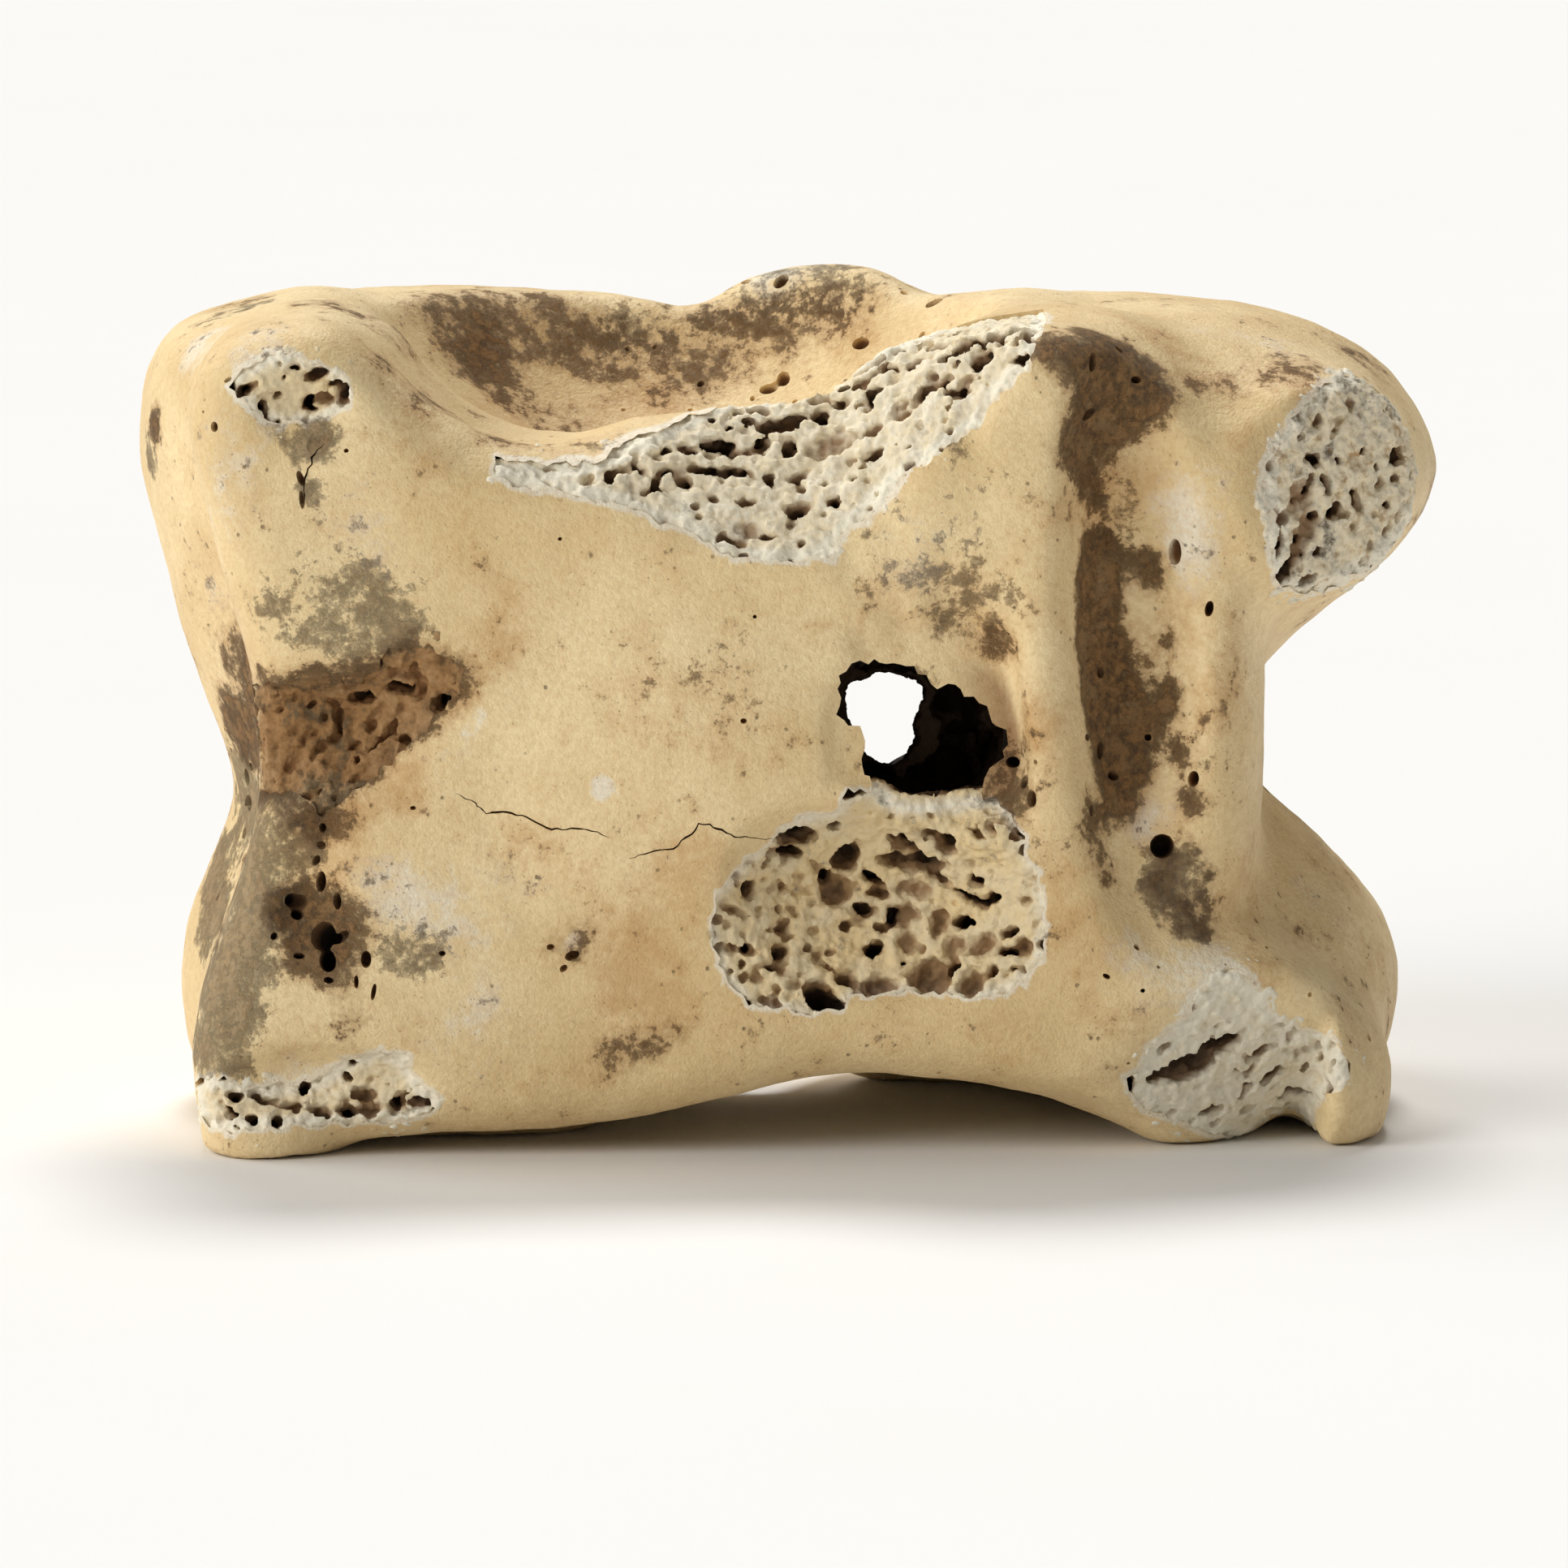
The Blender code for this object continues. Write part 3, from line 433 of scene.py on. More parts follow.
GREY_STAINS = (
    (-12.4, 8.2, 1.2, 0.8), (-12.5, 7.0, 1.2, 0.9), (-12.6, 5.8, 1.2, 0.9), (-12.9, 4.6, 1.1, 0.8),
    (-13.1, 3.4, 1.0, 0.7), (-13.3, 2.4, 0.8, 0.6), (-11.9, 9.0, 0.9, 0.8), (2.8, 14.0, 1.8, 0.22),
    (4.4, 13.4, 1.6, 0.25), (4.4, 16.0, 1.4, 0.22), (3.4, 11.9, 1.2, 0.2), (-1.2, 11.0, 1.6, 0.12),
    (7.7, 14.6, 0.9, 0.3), (-13.0, 8.2, 0.94, 0.9), (-13.2, 7.0, 0.94, 1), (-13.3, 5.7, 0.94, 1),
    (-13.5, 4.2, 0.84, 0.9), (-13.7, 2.9, 0.75, 0.6), (-12.6, 8.9, 1.12, 0.8), (-11.0, 16.8, 0.66, 0.9),
    (-11.1, 15.7, 0.41, 0.8), (-10.7, 13.5, 1.12, 0.5), (-9.8, 12.5, 1.12, 0.7),
    (-11.6, 12.7, 0.94, 0.5), (-8.8, 12.5, 0.94, 0.5), (-14.9, 17.6, 0.56, 1), (-14.7, 16.5, 0.56, 0.7),
    (-1.0, 20.4, 0.94, 0.4), (0.3, 20.5, 1.12, 0.45), (1.5, 20.4, 0.75, 0.4), (-2.5, 19.5, 0.94, 0.4),
    (-3.9, 19.5, 0.75, 0.5), (9.0, 6.3, 0.84, 0.9), (8.8, 6.7, 0.75, 0.8), (9.3, 5.4, 0.47, 0.9),
    (-9.0, 4.8, 0.75, 0.6), (-8.3, 4.7, 0.56, 0.5), (-12.7, 19.8, 1.12, 0.4), (12.7, 17.2, 0.94, 0.5),
    (13.6, 15.0, 0.94, 0.6), (11.7, 15.7, 0.75, 0.4), (7.1, 15.7, 1.12, 0.3), (-11.6, 8.0, 0.9, 0.7),
    (-11.3, 7.1, 0.8, 0.6), (-12.0, 8.6, 0.8, 0.7),
)
# Tan stains, and broad tan places right of the middle that are painted shade where the bone turns away from
# the lamps on the left.
TAN_STAINS_AND_SHADE = (
    (3.4, 13.2, 1.8, 0.5), (2.0, 12.4, 1.4, 0.4), (-1.0, 9.8, 1.6, 0.4), (-3.0, 10.6, 1.6, 0.3),
    (5.6, 14.6, 1.2, 0.5), (-8.6, 17.2, 1.2, 0.5), (-9.6, 14.4, 1.2, 0.3), (-11.4, 2.8, 1.0, 0.5),
    (12.6, 7.0, 1.2, 0.5), (13.6, 5.0, 1.2, 0.4), (7.4, 16.0, 1.4, 0.6), (7.8, 12.0, 1.3, 0.6),
    (7.8, 9.0, 1.3, 0.6), (8.6, 7.4, 1.0, 0.5), (4.0, 19.0, 1.0, 0.4), (-6.2, 12.7, 1.12, 0.5),
    (-7.7, 15.0, 1.31, 0.4), (-9.2, 7.2, 1.5, 0.35), (-6.2, 7.6, 1.5, 0.4), (-3.2, 5.7, 1.69, 0.6),
    (-2.1, 7.2, 0.94, 0.7), (-3.6, 4.2, 1.12, 0.8), (-2.8, 3.6, 0.94, 0.6), (-6.6, 3.8, 1.5, 0.2),
    (0.5, 12.5, 1.12, 0.3), (4.8, 12.0, 0.94, 0.6), (6.0, 10.1, 0.94, 0.7), (6.1, 12.7, 0.75, 0.5),
    (8.4, 15.3, 0.94, 0.3), (7.1, 15.0, 0.94, 0.6), (9.5, 12.7, 1.12, 0.6), (9.9, 10.8, 1.12, 0.5),
    (10.6, 16.5, 1.12, 0.5), (11.7, 18.2, 1.12, 0.6), (9.3, 18.5, 1.12, 0.6), (8.0, 19.5, 0.94, 0.6),
    (10.5, 6.3, 1.12, 0.6), (11.1, 4.4, 0.75, 0.6), (11.8, 8.2, 1.12, 0.5), (6.5, 6.3, 0.94, 0.6),
    (7.1, 4.8, 1.12, 0.5), (5.2, 3.0, 1.31, 0.4), (8.1, 3.4, 1.12, 0.4), (-5.1, 1.9, 1.12, 0.3),
    (-8.9, 2.1, 1.12, 0.4), (-11.6, 18.2, 0.75, 0.5), (-6.6, 17.4, 1.12, 0.6), (-3.2, 17.6, 1.31, 0.6),
    (-1.3, 18.5, 1.12, 0.5), (-7.7, 10.8, 0.75, 0.8), (-9.0, 8.9, 0.75, 0.8), (-10.0, 8.2, 0.56, 0.7),
    (-7.1, 12.0, 0.75, 0.6), (-5.1, 17.6, 1.12, 0.5), (1.5, 19.1, 1.12, 0.5), (5.2, 5.3, 1.12, 0.4),
    (-11.1, 7.6, 1.0, 0.8), (-11.0, 6.6, 0.8, 0.6),
)
# Pale spots of the bone, and broad pale places, mostly on the left and along the top, that are painted light
# where the bone faces the lamps.
PALE_SPOTS_AND_LIGHT = (
    (-1.6, 20.2, 0.9, 0.7), (-0.4, 20.6, 0.9, 0.7), (1.0, 20.7, 0.8, 0.4), (-8.2, 3.2, 1.4, 0.3),
    (-10.6, 2.6, 1.0, 0.3), (-7.0, 6.0, 1.6, 0.35), (-4.6, 6.6, 1.2, 0.2), (-13.4, 19.0, 1.2, 0.55),
    (-12.6, 17.0, 1.4, 0.4), (-13.2, 15.0, 1.4, 0.4), (-10.0, 15.2, 1.6, 0.3), (-9.0, 13.8, 1.4, 0.25),
    (-13.0, 13.0, 1.2, 0.35), (11.2, 19.0, 1.2, 0.4), (9.4, 19.4, 1.0, 0.4), (-9.2, 6.4, 1.3, 0.3),
    (-7.6, 9.2, 1.3, 0.35), (-11.6, 1.9, 0.8, 0.4), (-4.3, 8.7, 0.34, 1), (-3.8, 8.4, 0.19, 0.6),
    (-5.0, 5.2, 0.26, 0.9), (-5.3, 4.9, 0.15, 0.7), (-12.9, 6.0, 0.19, 0.8), (-7.1, 10.4, 0.26, 0.7),
    (-7.4, 10.0, 0.19, 0.6), (9.7, 15.7, 1.31, 0.4), (9.3, 13.8, 0.94, 0.5), (8.8, 15.0, 0.94, 0.5),
    (3.9, 15.0, 1.5, 0.35), (2.4, 14.2, 1.12, 0.3), (3.0, 12.7, 1.12, 0.3), (-13.5, 18.5, 0.94, 0.3),
    (8.6, 8.5, 0.94, 0.4), (8.0, 7.8, 0.75, 0.4), (9.9, 4.6, 1.12, 0.5), (8.8, 4.2, 1.31, 0.4),
    (7.7, 5.1, 1.12, 0.3), (-7.7, 1.1, 1.12, 0.2), (-1.7, 2.7, 1.5, 0.2), (-12.2, 19.1, 1.12, 0.4),
    (-6.4, 3.4, 1.6, 0.35), (-8.6, 6.0, 1.5, 0.3), (12.2, 6.2, 1.3, 0.35), (-3.6, 16.4, 1.4, 0.25),
    (12.0, 18.2, 1.2, 0.25),
)
# Stains on the sides that the eye sees hardly or not at all: (x, y, z, radius, strength).
FAR_STAINS = (
    (-12.5, -4.7, 10.5, 2.2, 0.95), (-12.4, -4.7, 9.3, 2.2, 0.95), (-12.7, -4.7, 7.9, 2.1, 0.9),
    (-13.0, -4.8, 6.5, 2.1, 0.85), (-13.4, -4.9, 5.0, 2.1, 0.75), (-9, 8, 6, 3.0, 0.55),
    (2, 8, 9, 3.2, 0.5), (8, 7, 14, 2.2, 0.5), (-3, 6, 17, 2.5, 0.55), (13, 3, 8, 2.6, 0.45),
    (-14, 2, 9, 2.8, 0.65), (0, 0, 3, 4.0, 0.5), (6, 4, 19, 2.0, 0.4), (-12, 5, 15, 2.4, 0.5),
    (3, 6, 2, 2.6, 0.6), (0, 8, 4, 2.0, 0.8), (1, 8, 15, 1.6, 0.7), (10, 8, 4, 2.0, 0.45),
    (15, 0, 14, 1.8, 0.5), (-15, -3, 6, 2.0, 0.6), (-6, 0, 0, 3.0, 0.5), (8, 0, 0, 3.0, 0.5),
    (-2, 3, 17, 1.8, 0.7), (4, 7, 10, 1.5, 0.6),
)
# Pits on the far sides: (x, y, z) to look from, how far they spread, and how many are tried.
FAR_PITS = (
    ((3, 30, 9.5), 2.6, 26), ((0.5, 26, 6), 1.6, 10), ((-9, 30, 12), 3.0, 12), ((9, 30, 5), 3.0, 10),
    ((30, 2, 9), 2.4, 14), ((-30, 0, 7), 2.6, 22), ((-4, 4, 40), 3.2, 18), ((9, 3, 40), 2.4, 8),
    ((0, 0, -30), 4.0, 20),
)


def srgb(red, green, blue):
    """A linear colour from the three numbers, 0 to 255, that a paint card gives."""
    parts = [part / 255 for part in (red, green, blue)]
    return tuple(part / 12.92 if part <= 0.04045 else ((part + 0.055) / 1.055) ** 2.4 for part in parts)


def length_prop(name, description, default):
    """A length in millimetres that a user can change."""
    return FloatProperty(name=name, description=description, default=default, min=0.01, max=5.0)


def colour_prop(name, description, red, green, blue):
    """A colour that a user can change."""
    return FloatVectorProperty(
        name=name, description=description, default=srgb(red, green, blue),
        subtype="COLOR", size=3, min=0.0, max=1.0,
    )


class KnuckleboneSizes(bpy.types.PropertyGroup):
    """The sizes of the bone's finer shapes, in millimetres."""

    skin_grain: length_prop("Skin grain", "How far apart the points of the skin lie, mm", 0.17)
    sponge_grain: length_prop("Sponge grain", "How far apart the points of the spongy bone lie, mm", 0.052)
    swell: length_prop("Swell", "Height of the broad unevenness of the skin, mm", 0.16)
    ripple: length_prop("Ripple", "Height of the small unevenness of the skin, mm", 0.05)
    rim_raggedness: length_prop("Rim raggedness", "How far the broken rims wander, mm", 0.09)
    crumble: length_prop("Crumble", "Height of the crumbs of the spongy bone, mm", 0.14)
    crack_width: length_prop("Crack width", "Width of the fine cracks, mm", 0.042)
    skin_smoothings: IntProperty(
        name="Skin smoothings", description="Passes that soften the skin", default=5, min=0
    )


class KnuckleboneColours(bpy.types.PropertyGroup):
    """The colours of old bone."""

    cream: colour_prop("Cream", "Clean skin of the bone", 246, 223, 174)
    buff: colour_prop("Buff", "Duller skin of the bone", 229, 202, 149)
    tan: colour_prop("Tan", "Orange-brown mottles", 200, 155, 98)
    rust: colour_prop("Rust", "Warm brown around the stains", 158, 114, 66)
    brown: colour_prop("Brown", "Earth in the hollows", 82, 62, 41)
    grey: colour_prop("Grey", "Grey dirt on the ends", 108, 92, 72)
    ash: colour_prop("Ash", "Paler grey-brown dirt on the ends", 172, 148, 115)
    white: colour_prop("White", "Freshly broken bone", 244, 238, 219)
    strut: colour_prop("Strut", "Struts of the spongy bone", 226, 208, 170)
    # Pore is the brown of the pores' walls, partly stain and partly painted shade; deep is painted shade at
    # the bottoms of pores and inside the hole.
    pore: colour_prop("Pore", "Walls of the pores", 138, 100, 62)
    deep: colour_prop("Deep", "Bottoms of the pores", 38, 26, 15)
    table: colour_prop("Table", "The pale table", 241, 240, 238)


def sizes():
    return bpy.context.scene.knucklebone_sizes


def colours():
    return bpy.context.scene.knucklebone_colours


# Tools of the modeller


def deselect_all():
    if bpy.context.mode != "OBJECT":
        bpy.ops.object.mode_set(mode="OBJECT")
    bpy.ops.object.select_all(action="DESELECT")


def take(obj):
    """Makes this the one selected and active object."""
    deselect_all()
    obj.select_set(True)
    bpy.context.view_layer.objects.active = obj


@contextmanager
def editing(obj):
    """Opens the object in edit mode with its whole mesh selected, and closes it again."""
    take(obj)
    bpy.ops.object.mode_set(mode="EDIT")
    bpy.ops.mesh.select_all(action="SELECT")
    yield
    bpy.ops.object.mode_set(mode="OBJECT")


def apply_modifier(obj, kind, **settings):
    """Adds a modifier with these settings and applies it."""
    take(obj)
    modifier = obj.modifiers.new(kind.title(), kind)
    for name, value in settings.items():
        setattr(modifier, name, value)
    bpy.ops.object.modifier_apply(modifier=modifier.name)


def new_object(name, data):
    obj = bpy.data.objects.new(name, data)
    bpy.context.scene.collection.objects.link(obj)
    return obj


def copied(obj, name):
    return new_object(name, obj.data.copy())


def thrown_away(obj):
    mesh = obj.data
    bpy.data.objects.remove(obj)
    bpy.data.meshes.remove(mesh)


def boolean(obj, other, operation="DIFFERENCE"):
    """Cuts, joins or keeps with another closed mesh, which is used up. The result stays closed."""
    apply_modifier(obj, "BOOLEAN", operation=operation, solver="MANIFOLD", object=other)
    thrown_away(other)
    if not obj.data.polygons:
        raise RuntimeError(f"{obj.name} lost all its faces in a Boolean")


def voxel_skin(obj, grain):
    apply_modifier(obj, "REMESH", mode="VOXEL", voxel_size=grain, adaptivity=0.0)


def smooth(obj, passes, factor=0.5):
    apply_modifier(obj, "SMOOTH", factor=factor, iterations=passes)


def roughen(obj, pattern_size, height, middle=0.5, depth=2):
    """Moves the points along their normals by a cloudy pattern."""
    clouds = bpy.data.textures.new(f"{obj.name}_clouds", "CLOUDS")
    clouds.noise_scale = pattern_size
    clouds.noise_depth = depth
    apply_modifier(
        obj, "DISPLACE", texture=clouds, texture_coords="LOCAL", strength=height, mid_level=middle
    )
    bpy.data.textures.remove(clouds)


def thin_out(obj, most):
    """Brings a mesh down to this many triangles, if it has more."""
    obj.data.calc_loop_triangles()
    share = most / len(obj.data.loop_triangles)
    if share < 1:
        apply_modifier(obj, "DECIMATE", decimate_type="COLLAPSE", ratio=share)


def drop_crumbs(obj):
    """Keeps only the largest loose part of a mesh."""
    before = set(bpy.data.objects)
    with editing(obj):
        bpy.ops.mesh.separate(type="LOOSE")
    parts = [obj] + [other for other in bpy.data.objects if other not in before]
    largest = max(parts, key=lambda part: len(part.data.vertices))
    if largest is not obj:
        obj.data, largest.data = largest.data, obj.data
    for part in parts[1:]:
        thrown_away(part)


def drop_flaps(obj):
    """Deletes stray triangles that hang on by one edge."""
    with editing(obj):
        bpy.ops.mesh.select_mode(type="EDGE")
        bpy.ops.mesh.select_all(action="DESELECT")
        bpy.ops.mesh.select_non_manifold(
            use_multi_face=False, use_non_contiguous=False, use_verts=False
        )
        bpy.ops.mesh.delete(type="EDGE")


def close_up(obj):
    """Splits the faces of a closed mesh into triangles and turns them outwards."""
    with editing(obj):
        bpy.ops.mesh.quads_convert_to_tris()
        bpy.ops.mesh.normals_make_consistent(inside=False)


def points_of(obj):
    flat = np.empty(len(obj.data.vertices) * 3, np.float64)
    obj.data.vertices.foreach_get("co", flat)
    return flat.reshape(-1, 3)


def keep_above_table(obj):
    """Lifts what has sunk below the table's top, and gives the points."""
    points = points_of(obj)
    points[:, 2] = np.maximum(points[:, 2], 0.0)
    obj.data.vertices.foreach_set("co", points.ravel())
    obj.data.update()
    return points


def write_field(obj, name, values):
    """Stores one number for each point, for the material to read."""
    field = obj.data.attributes.new(name, "FLOAT", "POINT")
    field.data.foreach_set("value", np.ascontiguousarray(values, np.float32))


def search_tree(obj):
    return BVHTree.FromObject(obj, bpy.context.evaluated_depsgraph_get())


def seen(across, up, behind=0.0):
    """The point that lies this far behind the heel face, where the eye sees (across, up)."""
    ray = Vector((across, HEEL_FACE, up)) - EYE
    return EYE + ray * ((HEEL_FACE + behind - EYE.y) / ray.y)


def hit(tree, across, up):
    """The place and normal where the sight line through (across, up) meets the bone, or two Nones."""
    place, normal, _, _ = tree.ray_cast(EYE, (seen(across, up) - EYE).normalized())
    return place, normal


def on_heel(points):
    """Where the eye sees these points against the heel face: an array of (across, up)."""
    eye = np.array(EYE)
    rays = points - eye
    return (eye + rays * ((HEEL_FACE - eye[1]) / rays[:, 1])[:, None])[:, [0, 2]]


def sides_of(outline):
    """Each corner of the outline with the next one."""
    return zip(outline, outline[1:] + outline[:1])


def inside(outline, across, up):
    """Whether a point lies within the outline."""
    within = False
    for (x1, y1), (x2, y2) in sides_of(outline):
        if (y1 > up) != (y2 > up) and across < (x2 - x1) * (up - y1) / (y2 - y1) + x1:
            within = not within
    return within


def distance_to(outline, places):
    """How far each (across, up) lies from the nearest side of the outline."""
    nearest = np.full(len(places), 1e9)
    for start, end in sides_of(outline):
        start = np.array(start)
        side = np.array(end) - start
        share = np.clip(((places - start) @ side) / max(side @ side, 1e-9), 0, 1)
        nearest = np.minimum(nearest, np.linalg.norm(places - start - share[:, None] * side, axis=1))
    return nearest


def ragged(outline, wander, step, seed):
    """The outline with many more corners, each a little off the line."""
    dice = random.Random(seed)
    corners = []
    drift = 0.0
    for (x1, y1), (x2, y2) in sides_of(outline):
        length = math.hypot(x2 - x1, y2 - y1)
        pieces = max(1, round(length / step))
        for k in range(pieces):
            drift = 0.55 * drift + dice.uniform(-wander, wander)
            share = k / pieces
            corners.append((
                x1 + (x2 - x1) * share + drift * (y2 - y1) / length,
                y1 + (y2 - y1) * share - drift * (x2 - x1) / length,
            ))
    return tuple(corners)


def grown(outline, margin):
    """The outline pushed outwards by the margin."""
    area = sum(x1 * y2 - x2 * y1 for (x1, y1), (x2, y2) in sides_of(outline))
    turn = 1 if area > 0 else -1
    count = len(outline)
    corners = []
    for k in range(count):
        (x1, y1), (x2, y2) = outline[k - 1], outline[(k + 1) % count]
        length = math.hypot(x2 - x1, y2 - y1) or 1.0
        corners.append((outline[k][0] + turn * margin * (y2 - y1) / length,
                        outline[k][1] - turn * margin * (x2 - x1) / length))
    return tuple(corners)


def box_of(outline):
    """The least and most across, and the least and most up, of an outline."""
    xs = [corner[0] for corner in outline]
    ys = [corner[1] for corner in outline]
    return min(xs), max(xs), min(ys), max(ys)


def lie_of(outline, tree):
    """How far behind the heel face the skin within an outline lies: at the middle, per across, per up.
    It is a plane fitted to points of the skin, of which those that lie far off it are dropped."""
    dice = random.Random(LIE_SEED)
    left, right, low, high = box_of(outline)
    rows = []
    while len(rows) < LIE_POINTS:
        across, up = dice.uniform(left, right), dice.uniform(low, high)
        if inside(outline, across, up):
            place, _ = hit(tree, across, up)
            rows.append((1.0, across, up, place.y - HEEL_FACE if place else 1e3))
    rows = np.array([row for row in rows if row[3] < 1e2])
    if len(rows) < 20:
        raise RuntimeError("an outline misses the bone")
    lie = None
    for _ in range(6):
        lie = np.linalg.lstsq(rows[:, :3], rows[:, 3], rcond=None)[0]
        off = np.abs(rows[:, :3] @ lie - rows[:, 3])
        rows = rows[off <= max(0.4, np.quantile(off, 0.85))]
    return lie


def plug(name, outline, lie, front, back):
    """A closed block along the sight lines: a filled ring, set on the outline and extruded backwards.
    It starts this far in front of the skin and ends this far behind it."""
    depths = [float(np.dot(lie, (1.0, across, up))) for across, up in outline]
    deselect_all()
    bpy.ops.mesh.primitive_circle_add(
        vertices=len(outline), radius=1.0, fill_type="NGON", location=(0, 0, 0)
    )
    block = bpy.context.active_object
    block.name = name
    for vertex, (across, up), depth in zip(block.data.vertices, outline, depths):
        vertex.co = seen(across, up, depth - front)
    with editing(block):
        bpy.ops.mesh.extrude_region_move()
    chosen = [vertex for vertex in block.data.vertices if vertex.select]
    for vertex, (across, up), depth in zip(chosen, outline, depths):
        vertex.co = seen(across, up, depth + back)
    close_up(block)
    return block


def pebble_mesh():
    """The points and triangles of one round pore, modelled once."""
    deselect_all()
    bpy.ops.mesh.primitive_ico_sphere_add(subdivisions=2, radius=1.0, location=(0, 0, 0))
    ball = bpy.context.active_object
    points = points_of(ball)
    faces = np.array([face.vertices[:] for face in ball.data.polygons])
    thrown_away(ball)
    return points, faces


def many_pebbles(name, places, grain):
    """One closed mesh of many pebbles. A place is a centre and the long, wide and deep half axes."""
    points, faces = pebble_mesh()
    all_points = []
    all_faces = []
    for number, (centre, long_axis, wide_axis, deep_axis) in enumerate(places):
        axes = np.array([long_axis, wide_axis, deep_axis])
        if np.linalg.det(axes) < 0:
            axes[1] = -axes[1]
        all_points.append(points @ axes + np.array(centre))
        all_faces.append(faces + number * len(points))
    mesh = bpy.data.meshes.new(name)
    mesh.from_pydata(np.concatenate(all_points).tolist(), [], np.concatenate(all_faces).tolist())
    pebbles = new_object(name, mesh)
    voxel_skin(pebbles, grain)
    smooth(pebbles, 1)
    return pebbles


def skin_axes(normal, lean_deg):
    """Two directions along the skin: one that leans this much up from level, and the one across it."""
    lean = math.radians(lean_deg)
    along = Vector((math.cos(lean), 0, math.sin(lean)))
    along = (along - normal * along.dot(normal)).normalized()
    return along, normal.cross(along)


def scatter(crop, worn, tree, dice):
    """Places of the pores of one crop, no two closer than its spacing in the same layer."""
    left, right, low, high = box_of(crop.outline)
    area = (right - left) * (high - low)
    places = []
    for layer in crop.layers:
        chosen = []
        for _ in range(int(area / crop.apart**2 * 14)):
            across, up = dice.uniform(left, right), dice.uniform(low, high)
            if not inside(crop.outline, across, up):
                continue
            place, normal = hit(tree, across, up)
            if place is None:
                continue
            apart = crop.apart * dice.uniform(0.8, 1.15)
            if any((place - other).length < apart for other in chosen):
                continue
            chosen.append(place)
            along, over = skin_axes(normal, crop.lean + dice.uniform(-25, 25))
            radius = crop.smallest + (crop.largest - crop.smallest) * dice.random() ** 1.3
            longer = crop.longer * dice.uniform(0.8, 1.25)
            centre = place - normal * (worn + layer + dice.uniform(-0.05, 0.1))
            deep = normal * radius * dice.uniform(1.2, 2.4)
            places.append((centre, along * radius * longer, over * radius, deep))
    return places


def by_hand(pores, worn, tree):
    """Places of the listed pores, this far under the skin."""
    places = []
    for across, up, half_length, half_width, lean, depth in pores:
        place, normal = hit(tree, across, up)
        if place is None:
            continue
        along, over = skin_axes(normal, lean)
        sink = 1.0 if half_width > NARROW_PORE else PORE_SINK
        places.append((
            place - normal * worn,
            along * half_length * PORE_SWELL,
            over * half_width * PORE_SWELL,
            normal * depth * sink,
        ))
    return places


def far_pits(tree):
    """Places of small pits on the sides that the eye doesn't see."""
    dice = random.Random(FAR_PITS_SEED)
    places = []
    for start, spread, count in FAR_PITS:
        aim = Vector((start[0] * 0.1, start[1] * 0.05, 9.0))
        for _ in range(count):
            aside = Vector([dice.gauss(0, spread * 0.6) for _ in range(3)])
            origin = Vector(start) + aside
            place, normal, _, _ = tree.ray_cast(origin, (aim + aside - origin).normalized())
            if place is None:
                continue
            axis = normal.orthogonal().normalized()
            axis.rotate(Matrix.Rotation(dice.uniform(0, math.pi), 3, normal))
            radius = dice.choice((0.06, 0.07, 0.09, 0.12, 0.17))
            places.append((place, axis * radius * 1.4, normal.cross(axis) * radius, normal * radius * 2.2))
    return places


def fill_mouth(bone):
    """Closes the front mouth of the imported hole, so that a ragged one can be cut."""
    def ring(radius):
        across, up = MOUTH_MIDDLE
        turns = [math.tau * k / MOUTH_CORNERS for k in range(MOUTH_CORNERS)]
        return tuple((across + radius * math.cos(t), up + radius * math.sin(t)) for t in turns)

    lie = lie_of(ring(MOUTH_RING_RADIUS), search_tree(bone))
    boolean(bone, plug("mouth_fill", ring(MOUTH_FILL_RADIUS), lie, -0.05, 1.5), "UNION")


def whole_bone(name):
    """A fine, smooth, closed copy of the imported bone, in millimetres."""
    bone = new_object(name, frame["nodes"][NODE].data.copy())
    bone.data.materials.clear()
    bone.data.transform(Matrix.Scale(1 / MM, 4))
    with editing(bone):
        bpy.ops.mesh.remove_doubles(threshold=0.0005)
    apply_modifier(bone, "SUBSURF", levels=2, render_levels=2)
    fill_mouth(bone)
    voxel_skin(bone, sizes().skin_grain)
    smooth(bone, sizes().skin_smoothings)
    roughen(bone, 2.6, sizes().swell)
    roughen(bone, 0.8, sizes().ripple)
    keep_above_table(bone)
    return bone


